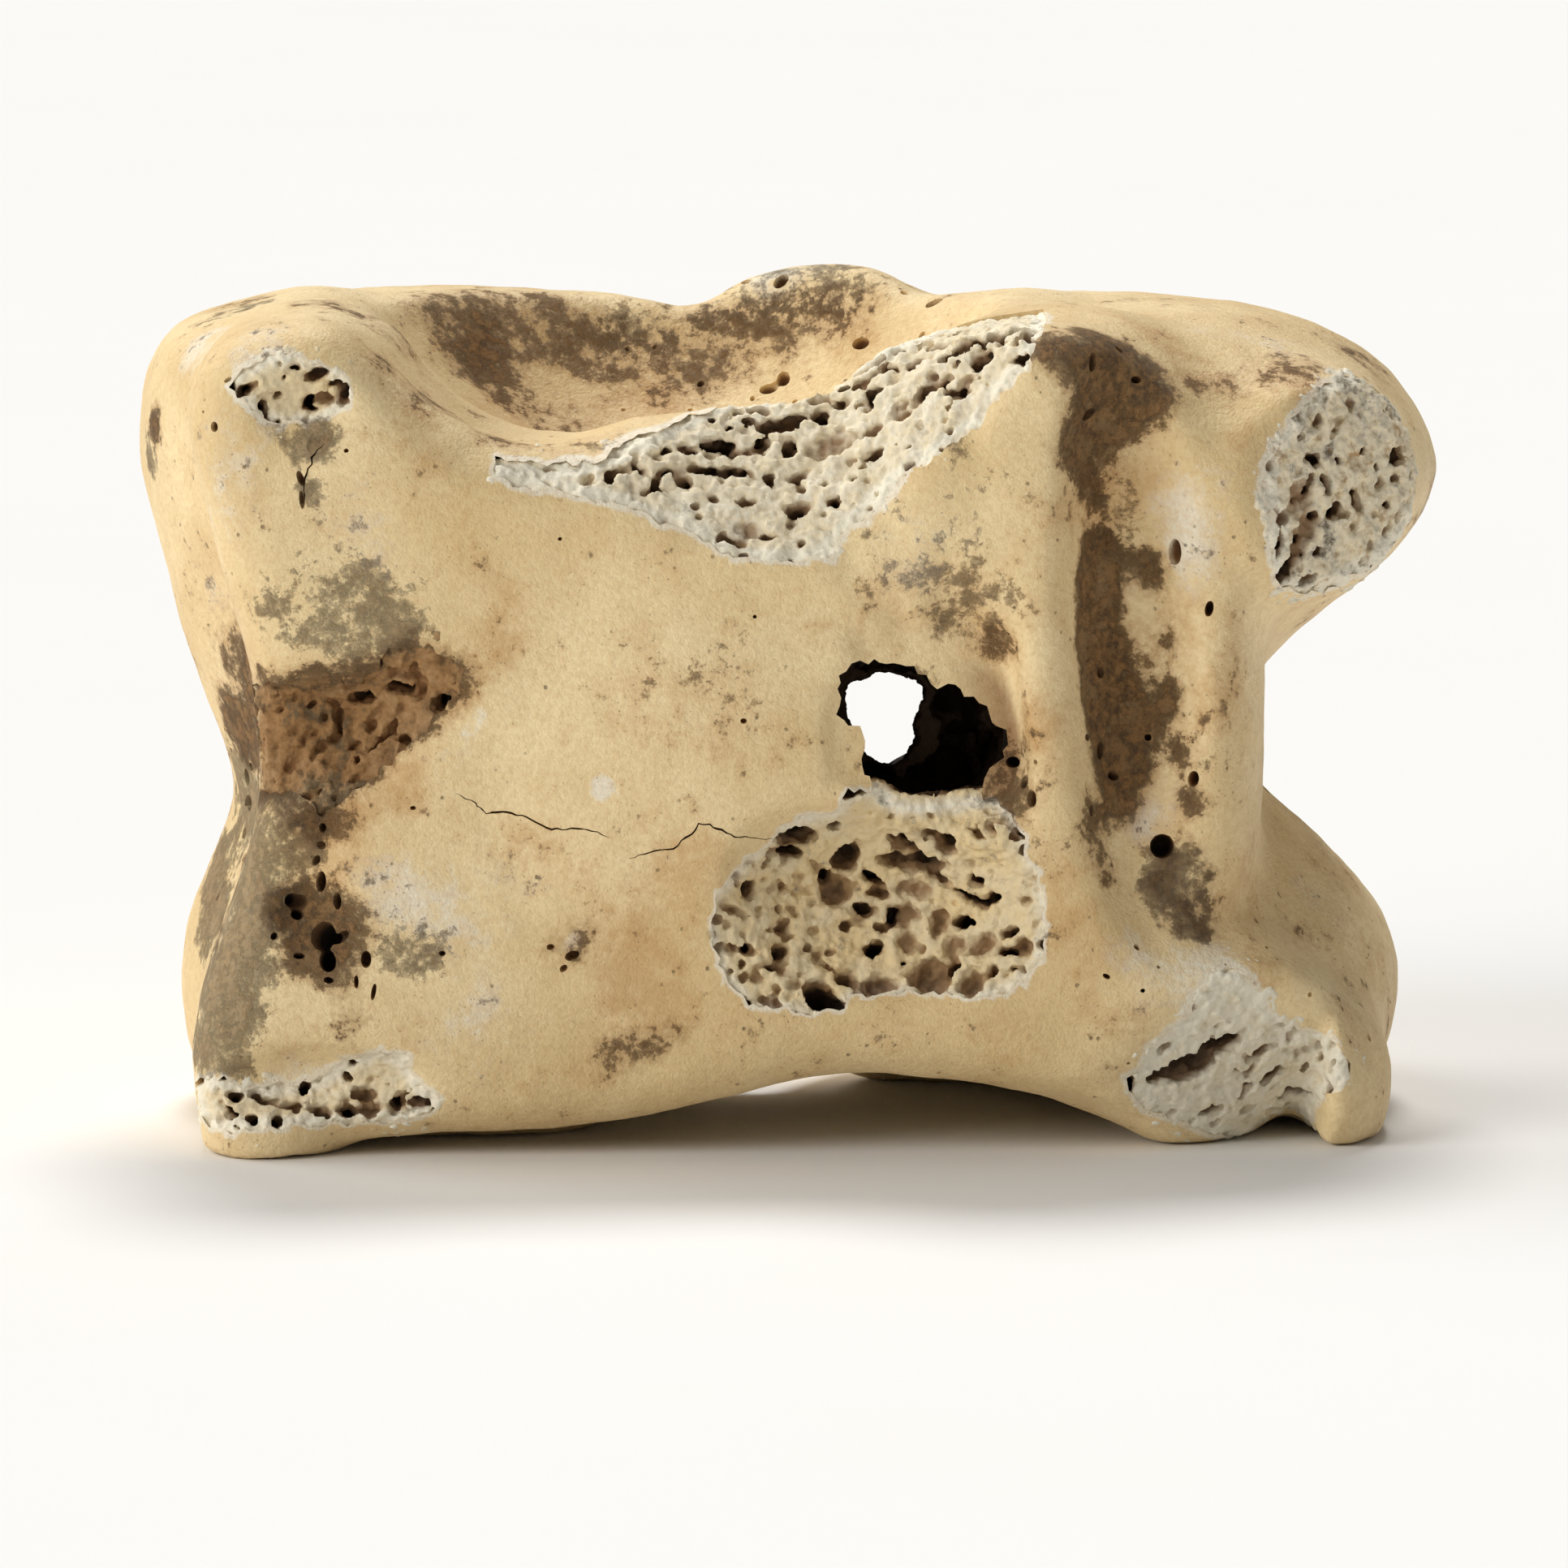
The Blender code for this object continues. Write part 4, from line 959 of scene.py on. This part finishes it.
def crack_cutter(line, tree, seed):
    """A thin closed wedge that follows a crack, widest at the skin and gone at its ends."""
    dice = random.Random(seed)
    fine = []
    for (x1, y1), (x2, y2) in zip(line, line[1:]):
        for k in range(4):
            share = k / 4
            fine.append((x1 + (x2 - x1) * share + dice.uniform(-0.03, 0.03),
                         y1 + (y2 - y1) * share + dice.uniform(-0.03, 0.03)))
    fine.append(line[-1])
    half = sizes().crack_width / 2
    rings = []
    for k, (across, up) in enumerate(fine):
        (x1, y1), (x2, y2) = fine[max(0, k - 1)], fine[min(len(fine) - 1, k + 1)]
        length = math.hypot(x2 - x1, y2 - y1)
        side = Vector((-(y2 - y1) / length, (x2 - x1) / length))
        swell = math.sin(math.pi * (k + 0.35) / (len(fine) - 0.3)) ** 0.5
        wide = half * swell * dice.uniform(0.6, 1.3)
        place, _ = hit(tree, across, up)
        depth = place.y - HEEL_FACE
        corners = []
        for offset, behind in ((-2.2, -0.4), (2.2, -0.4), (0.4, 0.28), (-0.4, 0.28)):
            aside = side * wide * offset
            corners.append(seen(across + aside.x, up + aside.y, depth + behind))
        rings.append(corners)
    points = [corner for ring in rings for corner in ring]
    faces = [(0, 1, 2, 3), tuple(len(points) - 1 - k for k in range(4))]
    for k in range(len(rings) - 1):
        for c in range(4):
            a, b = 4 * k + c, 4 * k + (c + 1) % 4
            faces.append((a, a + 4, b + 4, b))
    mesh = bpy.data.meshes.new("crack")
    mesh.from_pydata([tuple(point) for point in points], [], faces)
    wedge = new_object("crack", mesh)
    close_up(wedge)
    return wedge


def finish_piece(obj, material):
    """Brings a piece down to metres, gives it its material and shading, and puts it on the bone's body."""
    obj.data.transform(Matrix.Scale(MM, 4))
    obj.data.materials.clear()
    obj.data.materials.append(material)
    take(obj)
    bpy.ops.object.shade_smooth_by_angle(angle=math.radians(SMOOTH_DEG))
    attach(obj, "root")


def stained(points, tree, stains):
    """How strongly each point is stained, by stains that are named by where the eye sees them."""
    total = np.zeros(len(points))
    for across, up, radius, strength in stains:
        place, _ = hit(tree, across, up)
        if place is None:
            continue
        away = np.linalg.norm(points - np.array(place), axis=1) / radius
        total += strength * np.clip(STAIN_REACH - away, 0, 1) * (1 - total)
    return np.clip(total, 0, 1)


def depth_below(points, tree):
    """How far each point lies from the unbroken skin."""
    return np.array([tree.find_nearest(point)[3] for point in points.tolist()])


# Materials


class Sum:
    """A number in a material, on which sums are written as Python expressions."""

    def __init__(self, finish, socket):
        self.finish = finish
        self.socket = socket

    def maths(self, operation, first, second, clamp=False):
        settings = {"operation": operation, "use_clamp": clamp}
        return self.finish.number("ShaderNodeMath", settings, {0: first, 1: second})

    def __add__(self, other):
        return self.maths("ADD", self, other)

    __radd__ = __add__

    def __sub__(self, other):
        return self.maths("SUBTRACT", self, other)

    def __rsub__(self, other):
        return self.maths("SUBTRACT", other, self)

    def __mul__(self, other):
        return self.maths("MULTIPLY", self, other)

    __rmul__ = __mul__

    def clamped(self):
        return self.maths("ADD", self, 0.0, clamp=True)

    def between(self, low, high):
        """0 below low, 1 above high, and a soft step between."""
        sockets = {"Value": self, "From Min": low, "From Max": high}
        settings = {"interpolation_type": "SMOOTHSTEP", "clamp": True}
        return self.finish.number("ShaderNodeMapRange", settings, sockets, "Result")


class Finish:
    """A material and the one way its nodes are added."""

    def __init__(self, name):
        self.material = bpy.data.materials.new(name)
        self.material.use_nodes = True
        self.tree = self.material.node_tree
        self.tree.nodes.clear()
        place = self.node("ShaderNodeTexCoord").outputs["Object"]
        scaled = self.node("ShaderNodeVectorMath", {"operation": "SCALE"}, {0: place, "Scale": 1 / MM})
        self.place = scaled.outputs[0]

    def socket(self, sockets, key):
        if isinstance(key, int):
            return sockets[key]
        return next((s for s in sockets if s.identifier == key), None) or sockets[key]

    def node(self, kind, settings=None, sockets=None):
        """Adds a node of this type, with its settings and then the values or links of its sockets."""
        node = self.tree.nodes.new(kind)
        for name, value in (settings or {}).items():
            setattr(node, name, value)
        for key, value in (sockets or {}).items():
            socket = self.socket(node.inputs, key)
            value = value.socket if isinstance(value, Sum) else value
            if isinstance(value, bpy.types.NodeSocket):
                self.tree.links.new(value, socket)
            else:
                socket.default_value = value
        return node

    def number(self, kind, settings=None, sockets=None, output=0):
        """Adds a node and gives one of its outputs as a number for sums."""
        return Sum(self, self.socket(self.node(kind, settings, sockets).outputs, output))

    def noise(self, scale, detail, roughness, seed):
        """Cloudy noise around 0.5, with this many waves to the millimetre."""
        offset = (seed, seed * 1.7, -seed)
        moved = self.node("ShaderNodeVectorMath", {"operation": "ADD"}, {0: self.place, 1: offset})
        sockets = {"Vector": moved.outputs[0], "Scale": scale, "Detail": detail, "Roughness": roughness}
        return self.number("ShaderNodeTexNoise", {}, sockets, "Fac")

    def cells(self, scale):
        """Distance to the middles of random cells."""
        sockets = {"Vector": self.place, "Scale": scale}
        return self.number("ShaderNodeTexVoronoi", {}, sockets, "Distance")

    def field(self, name):
        """A number stored on the piece's points."""
        return self.number("ShaderNodeAttribute", {"attribute_name": name}, {}, "Fac")

    def mix(self, share, first, second):
        """A colour between two others."""
        first = (*first, 1.0) if isinstance(first, tuple) else first
        second = (*second, 1.0) if isinstance(second, tuple) else second
        sockets = {"Factor_Float": share, "A_Color": first, "B_Color": second}
        mixed = self.node("ShaderNodeMix", {"data_type": "RGBA"}, sockets)
        return self.socket(mixed.outputs, "Result_Color")

    def surface(self, colour, roughness, height, bump_mm, specular=0.35):
        """Ends the material in a Principled shader with a bump."""
        bumps = {"Height": height, "Distance": bump_mm * MM, "Strength": 1.0}
        bump = self.node("ShaderNodeBump", {}, bumps)
        shader = self.node("ShaderNodeBsdfPrincipled", {}, {
            "Base Color": colour,
            "Roughness": roughness,
            "Normal": bump.outputs[0],
            "Specular IOR Level": specular,
        })
        self.node("ShaderNodeOutputMaterial", {}, {"Surface": shader.outputs[0]})
        return self.material


def paint(name):
    """A colour of the bone as three numbers."""
    return tuple(getattr(colours(), name))


def skin_material():
    """Old bone skin: cream, mottled with buff and tan, stained brown and grey, with fine specks; broad pale
    and tan places also paint light and shade, and pits, cracks and the hole's wall get painted shade, brown
    to nearly black by depth.
    """
    finish = Finish("old_bone_skin")
    broad = finish.noise(0.16, 4.0, 0.6, 3.0)
    cloud = finish.noise(0.55, 6.0, 0.66, 11.0)
    blotch = finish.noise(1.5, 5.0, 0.7, 29.0)
    grain = finish.noise(7.0, 3.0, 0.6, 5.0)
    fibre = finish.noise(16.0, 2.0, 0.5, 8.0)
    grit = finish.noise(3.6, 7.0, 0.78, 41.0)
    dark = finish.field("dark")
    grey = finish.field("grey")
    tan = finish.field("tan")
    pale = finish.field("pale")
    hollow = finish.field("hollow")

    unrest = (cloud - 0.5) * 1.5 + (blotch - 0.5) * 2.0 + (grit - 0.5) * 1.5
    colour = finish.mix(broad.between(0.36, 0.64), paint("cream"), paint("buff"))
    # The tan field holds tan stains and painted shade right of the middle; the pale field holds pale spots,
    # clean rims of breaks and painted light on the left and top.
    tanned = (tan * 1.3 + unrest * 0.8 - 0.3).between(0.0, 0.9)
    mottle = (cloud.between(0.45, 0.7) * 0.3 + tanned * 0.55).clamped()
    colour = finish.mix(mottle, colour, paint("tan"))
    whiten = (pale * 1.4 + unrest * 0.6 - 0.45).between(0.0, 0.6) * 0.8
    colour = finish.mix(whiten, colour, paint("white"))
    colour = finish.mix(blotch.between(0.54, 0.72) * 0.3, colour, paint("tan"))
    rusty = grit.between(0.56, 0.72) * cloud.between(0.4, 0.6)
    colour = finish.mix(rusty * 0.35, colour, paint("rust"))
    edge = (dark * 1.9 + unrest * 0.9 - 0.3).between(0.0, 0.7)
    colour = finish.mix(edge * 0.6, colour, paint("rust"))
    dusty = (grey * 1.5 + unrest * 1.5 - 0.5).between(0.0, 0.9)
    ash = finish.mix(grit.between(0.38, 0.6), paint("grey"), paint("ash"))
    colour = finish.mix(dusty * 0.72, colour, ash)
    soiled = (dark * 1.9 + unrest * 1.2 - 0.8).between(0.0, 0.7)
    earth = finish.mix(grit.between(0.42, 0.62), paint("brown"), paint("rust"))
    worn_off = blotch.between(0.5, 0.66) * 0.45 + grit.between(0.54, 0.66) * 0.3
    colour = finish.mix(soiled * (0.9 - worn_off), colour, earth)
    specks = (1 - finish.cells(2.1).between(0.05, 0.13)) * blotch.between(0.46, 0.6)
    flecks = (1 - finish.cells(5.5).between(0.06, 0.18)) * cloud.between(0.42, 0.6) * 0.85
    colour = finish.mix((specks + flecks).clamped() * 0.65, colour, paint("brown"))
    colour = finish.mix(((grain - 0.5) * 0.9 + 0.12).clamped(), colour, paint("tan"))
    # Painted shade by depth: pits, cracks, recess walls and the hole's wall turn pore brown, partly stain
    # and partly shade, then nearly black deeper in.
    colour = finish.mix(hollow.between(0.04, 0.35), colour, paint("pore"))
    colour = finish.mix(hollow.between(0.25, 0.9) * 0.97, colour, paint("deep"))

    rough = (0.58 + (grain - 0.5) * 0.2 + soiled * 0.25 + dusty * 0.2).clamped()
    height = grain * 0.5 + fibre * 0.3 + blotch * 0.5 - specks * 0.6
    height = height + (soiled + dusty * 0.7) * grit * 3.0
    return finish.surface(colour, rough, height, 0.06)


def sponge_material():
    """Spongy bone: pale struts over orange-brown pores, dirty in places; the pores' brown is partly their
    own stain and partly painted shade, and their bottoms are painted shade, nearly black.
    """
    finish = Finish("spongy_bone")
    cloud = finish.noise(0.7, 4.0, 0.6, 17.0)
    blotch = finish.noise(2.4, 4.0, 0.65, 23.0)
    grain = finish.noise(9.0, 3.0, 0.6, 31.0)
    hollow = finish.field("hollow")
    dirt = finish.field("dirt")
    fresh = finish.field("fresh")

    unrest = (cloud - 0.5) * 1.4 + (blotch - 0.5) * 1.6 + (grain - 0.5) * 0.8
    colour = finish.mix((cloud + blotch * 0.5).between(0.6, 0.95), paint("strut"), paint("buff"))
    whiten = (fresh * 1.3 + unrest * 0.6 - 0.4).between(0.0, 0.7)
    colour = finish.mix(whiten * 0.85, colour, paint("white"))
    dusty = (dirt * 1.4 + unrest * 0.9 - 0.5).between(0.0, 0.7)
    colour = finish.mix(dusty * 0.7, colour, paint("grey"))
    earthy = (dirt * 1.3 + unrest * 1.5 - 0.75).between(0.0, 0.7)
    colour = finish.mix(earthy * 0.75, colour, paint("brown"))
    rusty = (dirt * 2.0 - unrest * 1.5 - 1.0).between(0.0, 0.7)
    colour = finish.mix(rusty * 0.75, colour, paint("rust"))
    # Painted shade by depth: pores turn brown, partly their own stain and partly shade, then nearly black
    # towards their bottoms.
    below = hollow + (blotch - 0.5) * 0.1
    colour = finish.mix(below.between(0.03, 0.26) * 0.85, colour, paint("pore"))
    colour = finish.mix(below.between(0.2, 0.62) * 0.96, colour, paint("deep"))
    height = grain * 0.6 + blotch * 0.5
    return finish.surface(colour, 0.8, height, 0.05, 0.2)


def table_material():
    """The pale table: nearly white, with the faintest unevenness."""
    finish = Finish("pale_table")
    speck = finish.noise(0.05, 3.0, 0.6, 2.0)
    colour = finish.mix(speck.between(0.3, 0.7) * 0.04, paint("table"), paint("cream"))
    return finish.surface(colour, 0.7, speck, 0.01, 0.1)


# Pieces

_made = {}


def unbroken():
    """The unbroken bone and the search tree on its skin, made once."""
    if "bone" not in _made:
        bone = whole_bone("unbroken_bone")
        _made["bone"] = bone
        _made["tree"] = search_tree(bone)
    return _made["bone"], _made["tree"]


def rim_of(spot):
    return ragged(spot.outline, sizes().rim_raggedness, 0.14, spot.seed)


def spongy_piece(spot, material):
    """One break: a block of the bone, worn down and crumbled, with its pores cut out of it."""
    bone, tree = unbroken()
    lie = lie_of(spot.outline, tree)
    block = copied(bone, spot.name)
    room = plug("room", grown(spot.outline, ROOM_MARGIN), lie, ROOM_FRONT, spot.recess + ROOM_MARGIN)
    boolean(block, room, "INTERSECT")
    drop_crumbs(block)
    voxel_skin(block, BLOCK_GRAIN)
    roughen(block, 0.5, spot.crumbs, middle=0.5 + spot.worn / spot.crumbs, depth=3)
    dice = random.Random(spot.seed)
    places = by_hand(spot.placed, spot.worn, tree)
    for crop in spot.pores:
        places += scatter(crop, spot.worn, tree, dice)
    crumble(block, places, PORE_GRAIN)
    points = keep_above_table(block)
    depth = depth_below(points, tree)
    dirt = spot.dirt + 0.25 * stained(points, tree, DARK_STAINS)
    near_rim = np.clip(0.7 - distance_to(spot.outline, on_heel(points)) / 0.5, 0, 1)
    # Depth under the skin, which the material turns into pore brown and painted shade.
    write_field(block, "hollow", np.clip(depth - spot.worn - 0.02, 0, None))
    write_field(block, "dirt", np.clip(dirt, 0, 1))
    write_field(block, "fresh", np.clip(spot.fresh + near_rim * (1 - spot.dirt), 0, 1))
    finish_piece(block, material)


def crumble(block, places, grain):
    """Cuts the pores out of a block of spongy bone and breaks up its surface."""
    boolean(block, many_pebbles("pores", places, grain))
    voxel_skin(block, sizes().sponge_grain)
    smooth(block, 1, 0.3)
    roughen(block, 0.42, sizes().crumble * 1.2, depth=1)
    roughen(block, 0.16, sizes().crumble, depth=1)
    drop_crumbs(block)
    thin_out(block, SPONGE_TRIANGLES)


def hole_lining(material):
    """The spongy bone that narrows the hole behind its mouth, open where the eye sees through, and painted
    nearly black with shade that deepens further in.
    """
    start, end = HOLE_START, HOLE_START.lerp(HOLE_END, LINING_SHARE)
    axis = end - start
    deselect_all()
    bpy.ops.mesh.primitive_cylinder_add(
        vertices=32, radius=LINING_RADIUS, depth=axis.length, location=(start + end) / 2,
        rotation=axis.to_track_quat("Z", "Y").to_euler(),
    )
    lining = bpy.context.active_object
    lining.name = "hole_lining"
    bpy.ops.object.transform_apply(location=True, rotation=True, scale=True)
    opening = ragged(OPENING_OUTLINE, 0.05, 0.12, OPENING_SEED)
    boolean(lining, plug("opening", opening, (0.0, 0.0, 0.0), 1.0, 12.0))
    voxel_skin(lining, LINING_GRAIN)
    dice = random.Random(LINING_SEED)
    places = []
    for _ in range(LINING_TRIES):
        share = dice.uniform(-0.05, 0.5)
        turn = dice.uniform(0, math.tau)
        out = dice.uniform(0.7, 2.5)
        centre = start.lerp(end, share) + Vector((math.cos(turn), 0, math.sin(turn))) * out
        sight = on_heel(np.array([centre]))
        if distance_to(OPENING_OUTLINE, sight)[0] < 0.3 or inside(OPENING_OUTLINE, *sight[0]):
            continue
        radius = dice.uniform(0.2, 0.48)
        lean = dice.uniform(0, math.pi)
        along = Vector((math.cos(lean), 0.2, math.sin(lean))).normalized()
        deep = Vector((0, 1, 0)) - along * along.y
        deep.normalize()
        places.append((centre, along * radius * 1.3, along.cross(deep) * radius, deep * radius * 1.5))
    crumble(lining, places, LINING_PORE_GRAIN)
    points = points_of(lining)
    # Painted shade: the lining is painted nearly black, darker further into the hole.
    write_field(lining, "hollow", 0.75 + np.clip((points[:, 1] - start.y) * 1.4, 0, 1))
    write_field(lining, "dirt", np.full(len(points), 0.6))
    write_field(lining, "fresh", np.zeros(len(points)))
    finish_piece(lining, material)


def hole_pores(tree):
    """Pores in the walls of the hole, deeper in than its mouth."""
    dice = random.Random(HOLE_PORES_SEED)
    places = []
    start, end = HOLE_START, HOLE_END
    for _ in range(HOLE_PORES):
        share = dice.random()
        turn = dice.uniform(0, math.tau)
        centre = start.lerp(end, share)
        outwards = Vector((math.cos(turn), 0.05, math.sin(turn)))
        place, normal, _, _ = tree.ray_cast(centre, outwards)
        if place is None or (place - centre).length > 3.0:
            continue
        along, over = skin_axes(normal, dice.uniform(0, 90))
        radius = dice.uniform(0.14, 0.34)
        centre = place - normal * 0.05
        places.append((centre, along * radius * 1.3, over * radius, normal * radius * 1.5))
    return places


def cut_skin():
    """The bone's skin: recesses under the breaks, a ragged hole, pits and cracks, all real holes."""
    bone, tree = unbroken()
    skin = copied(bone, "knucklebone_skin")
    for spot in BREAKS:
        lie = lie_of(spot.outline, tree)
        boolean(skin, plug("recess", rim_of(spot), lie, RECESS_FRONT, spot.recess))
    mouth = ragged(HOLE_OUTLINE, 0.15, 0.17, MOUTH_SEED)
    boolean(skin, plug("hole_mouth", mouth, MOUTH_LIE, MOUTH_FRONT, MOUTH_DEPTH))
    boolean(skin, many_pebbles("hole_pores", hole_pores(tree), HOLE_PORE_GRAIN))
    pits = by_hand(PITS, 0.0, tree) + far_pits(tree)
    boolean(skin, many_pebbles("pits", pits, PIT_GRAIN))
    for number, line in enumerate(CRACKS):
        boolean(skin, crack_cutter(line, tree, CRACKS_SEED + number))
    drop_crumbs(skin)
    thin_out(skin, MOST_TRIANGLES)
    drop_flaps(skin)
    return skin


def broken_rims(points, tree):
    """How near each point lies to the rim of a clean break, from 0 to 1."""
    sight = on_heel(points)
    rim = np.zeros(len(points))
    for spot in BREAKS:
        if spot.dirt >= 0.6:
            continue
        lie = lie_of(spot.outline, tree)
        off = np.abs(points[:, 1] - HEEL_FACE - (lie[0] + sight @ lie[1:]))
        width = 0.16 if spot.fresh > 0.5 else 0.1
        near = np.clip(1.15 - distance_to(rim_of(spot), sight) / width, 0, 1)
        rim = np.maximum(rim, near * (off < 0.9))
    return rim


def hole_wall_shade(points):
    """How much painted shade each point gets on the wall of the hole, from 0 to 1."""
    start = np.array(HOLE_START)
    axis = np.array(HOLE_END) - start
    along = np.clip((points - start) @ axis / (axis @ axis), -0.05, 1.0)
    from_axis = np.linalg.norm(points - start - along[:, None] * axis, axis=1)
    y = points[:, 1]
    return np.clip((2.9 - from_axis) / 0.5, 0, 1) * np.clip((y + 7.7) / 1.2, 0, 1) * (y < 2.5)


def paint_skin(skin):
    """Stores on the skin's points where it is stained, where broad pale and tan places paint light and
    shade, and its depth, which the material turns into pore brown and painted shade.
    """
    _, tree = unbroken()
    points = points_of(skin)
    depth = depth_below(points, tree)
    rim = broken_rims(points, tree)
    dark = stained(points, tree, DARK_STAINS)
    for *middle, radius, strength in FAR_STAINS:
        away = np.linalg.norm(points - np.array(middle), axis=1) / radius
        dark = np.maximum(dark, strength * np.clip(FAR_STAIN_REACH - away, 0, 1))
    write_field(skin, "dark", dark)
    write_field(skin, "grey", stained(points, tree, GREY_STAINS))
    write_field(skin, "tan", stained(points, tree, TAN_STAINS_AND_SHADE))
    write_field(skin, "pale", np.clip(stained(points, tree, PALE_SPOTS_AND_LIGHT) + rim * 1.2, 0, 1))
    # Painted shade by depth, left off the clean rims, with more painted shade on the hole's wall.
    hollow = np.where(rim > 0.1, 0.0, depth * 1.6) + hole_wall_shade(points) * 0.8
    write_field(skin, "hollow", hollow)


class MESH_OT_knucklebone_skin(bpy.types.Operator):
    """Makes the bone's outer skin, with its ragged hole, cracks, pits and stains"""

    bl_idname = "mesh.knucklebone_skin"
    bl_label = "Bone skin"

    def execute(self, context):
        skin = cut_skin()
        paint_skin(skin)
        finish_piece(skin, skin_material())
        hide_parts(NODE)
        return {"FINISHED"}


class MESH_OT_knucklebone_sponge(bpy.types.Operator):
    """Makes the spongy bone that shows in each break of the skin"""

    bl_idname = "mesh.knucklebone_sponge"
    bl_label = "Spongy bone"

    def execute(self, context):
        material = sponge_material()
        for spot in BREAKS:
            spongy_piece(spot, material)
        hole_lining(material)
        return {"FINISHED"}


class SCENE_OT_knucklebone_stage(bpy.types.Operator):
    """Makes the pale table, the soft lights and the camera"""

    bl_idname = "scene.knucklebone_stage"
    bl_label = "Studio table"

    def execute(self, context):
        scene = context.scene
        thrown_away(_made.pop("bone"))
        deselect_all()
        bpy.ops.mesh.primitive_grid_add(
            x_subdivisions=8, y_subdivisions=8, size=TABLE_WIDTH_M, location=(0, 0, 0)
        )
        table = context.active_object
        table.name = "studio_table"
        table.data.materials.append(table_material())

        for name, from_side, strength, softness_deg, colour in LAMPS:
            sun = bpy.data.lights.new(name, "SUN")
            sun.energy = strength
            sun.angle = math.radians(softness_deg)
            sun.color = colour
            lamp = new_object(name, sun)
            lamp.location = Vector(from_side) * LAMP_DISTANCE_M
            lamp.rotation_euler = Vector(from_side).to_track_quat("Z", "Y").to_euler()
        world = bpy.data.worlds.new("studio")
        scene.world = world
        world.use_nodes = True
        background = world.node_tree.nodes["Background"]
        background.inputs["Color"].default_value = (1.0, 1.0, 1.0, 1.0)
        background.inputs["Strength"].default_value = ROOM_LIGHT
        scene.view_settings.view_transform = "Standard"

        lens = bpy.data.cameras.new("camera")
        lens.lens = LENS_MM
        lens.sensor_width = SENSOR_MM
        lens.clip_start = 0.01
        camera = new_object("camera", lens)
        camera.location = EYE * MM
        camera.rotation_euler = (EYE_TARGET - EYE).to_track_quat("-Z", "Y").to_euler()
        scene.camera = camera
        return {"FINISHED"}


class VIEW3D_PT_knucklebone(bpy.types.Panel):
    """Lists the steps that build the knucklebone"""

    bl_label = "Old Knucklebone"
    bl_idname = "VIEW3D_PT_knucklebone"
    bl_space_type = "VIEW_3D"
    bl_region_type = "UI"
    bl_category = "Bone"

    def draw(self, context):
        column = self.layout.column()
        for operator in STEPS:
            column.operator(operator.bl_idname)
        for group in (context.scene.knucklebone_sizes, context.scene.knucklebone_colours):
            for name in type(group).__annotations__:
                column.prop(group, name)


STEPS = (MESH_OT_knucklebone_skin, MESH_OT_knucklebone_sponge, SCENE_OT_knucklebone_stage)
CLASSES = (KnuckleboneSizes, KnuckleboneColours, *STEPS, VIEW3D_PT_knucklebone)


def register():
    for cls in CLASSES:
        bpy.utils.register_class(cls)
    bpy.types.Scene.knucklebone_sizes = PointerProperty(type=KnuckleboneSizes)
    bpy.types.Scene.knucklebone_colours = PointerProperty(type=KnuckleboneColours)


def unregister():
    del bpy.types.Scene.knucklebone_colours
    del bpy.types.Scene.knucklebone_sizes
    for cls in reversed(CLASSES):
        bpy.utils.unregister_class(cls)


def main():
    register()
    bpy.ops.mesh.knucklebone_skin()
    bpy.ops.mesh.knucklebone_sponge()
    bpy.ops.scene.knucklebone_stage()


if __name__ == "__main__":
    main()
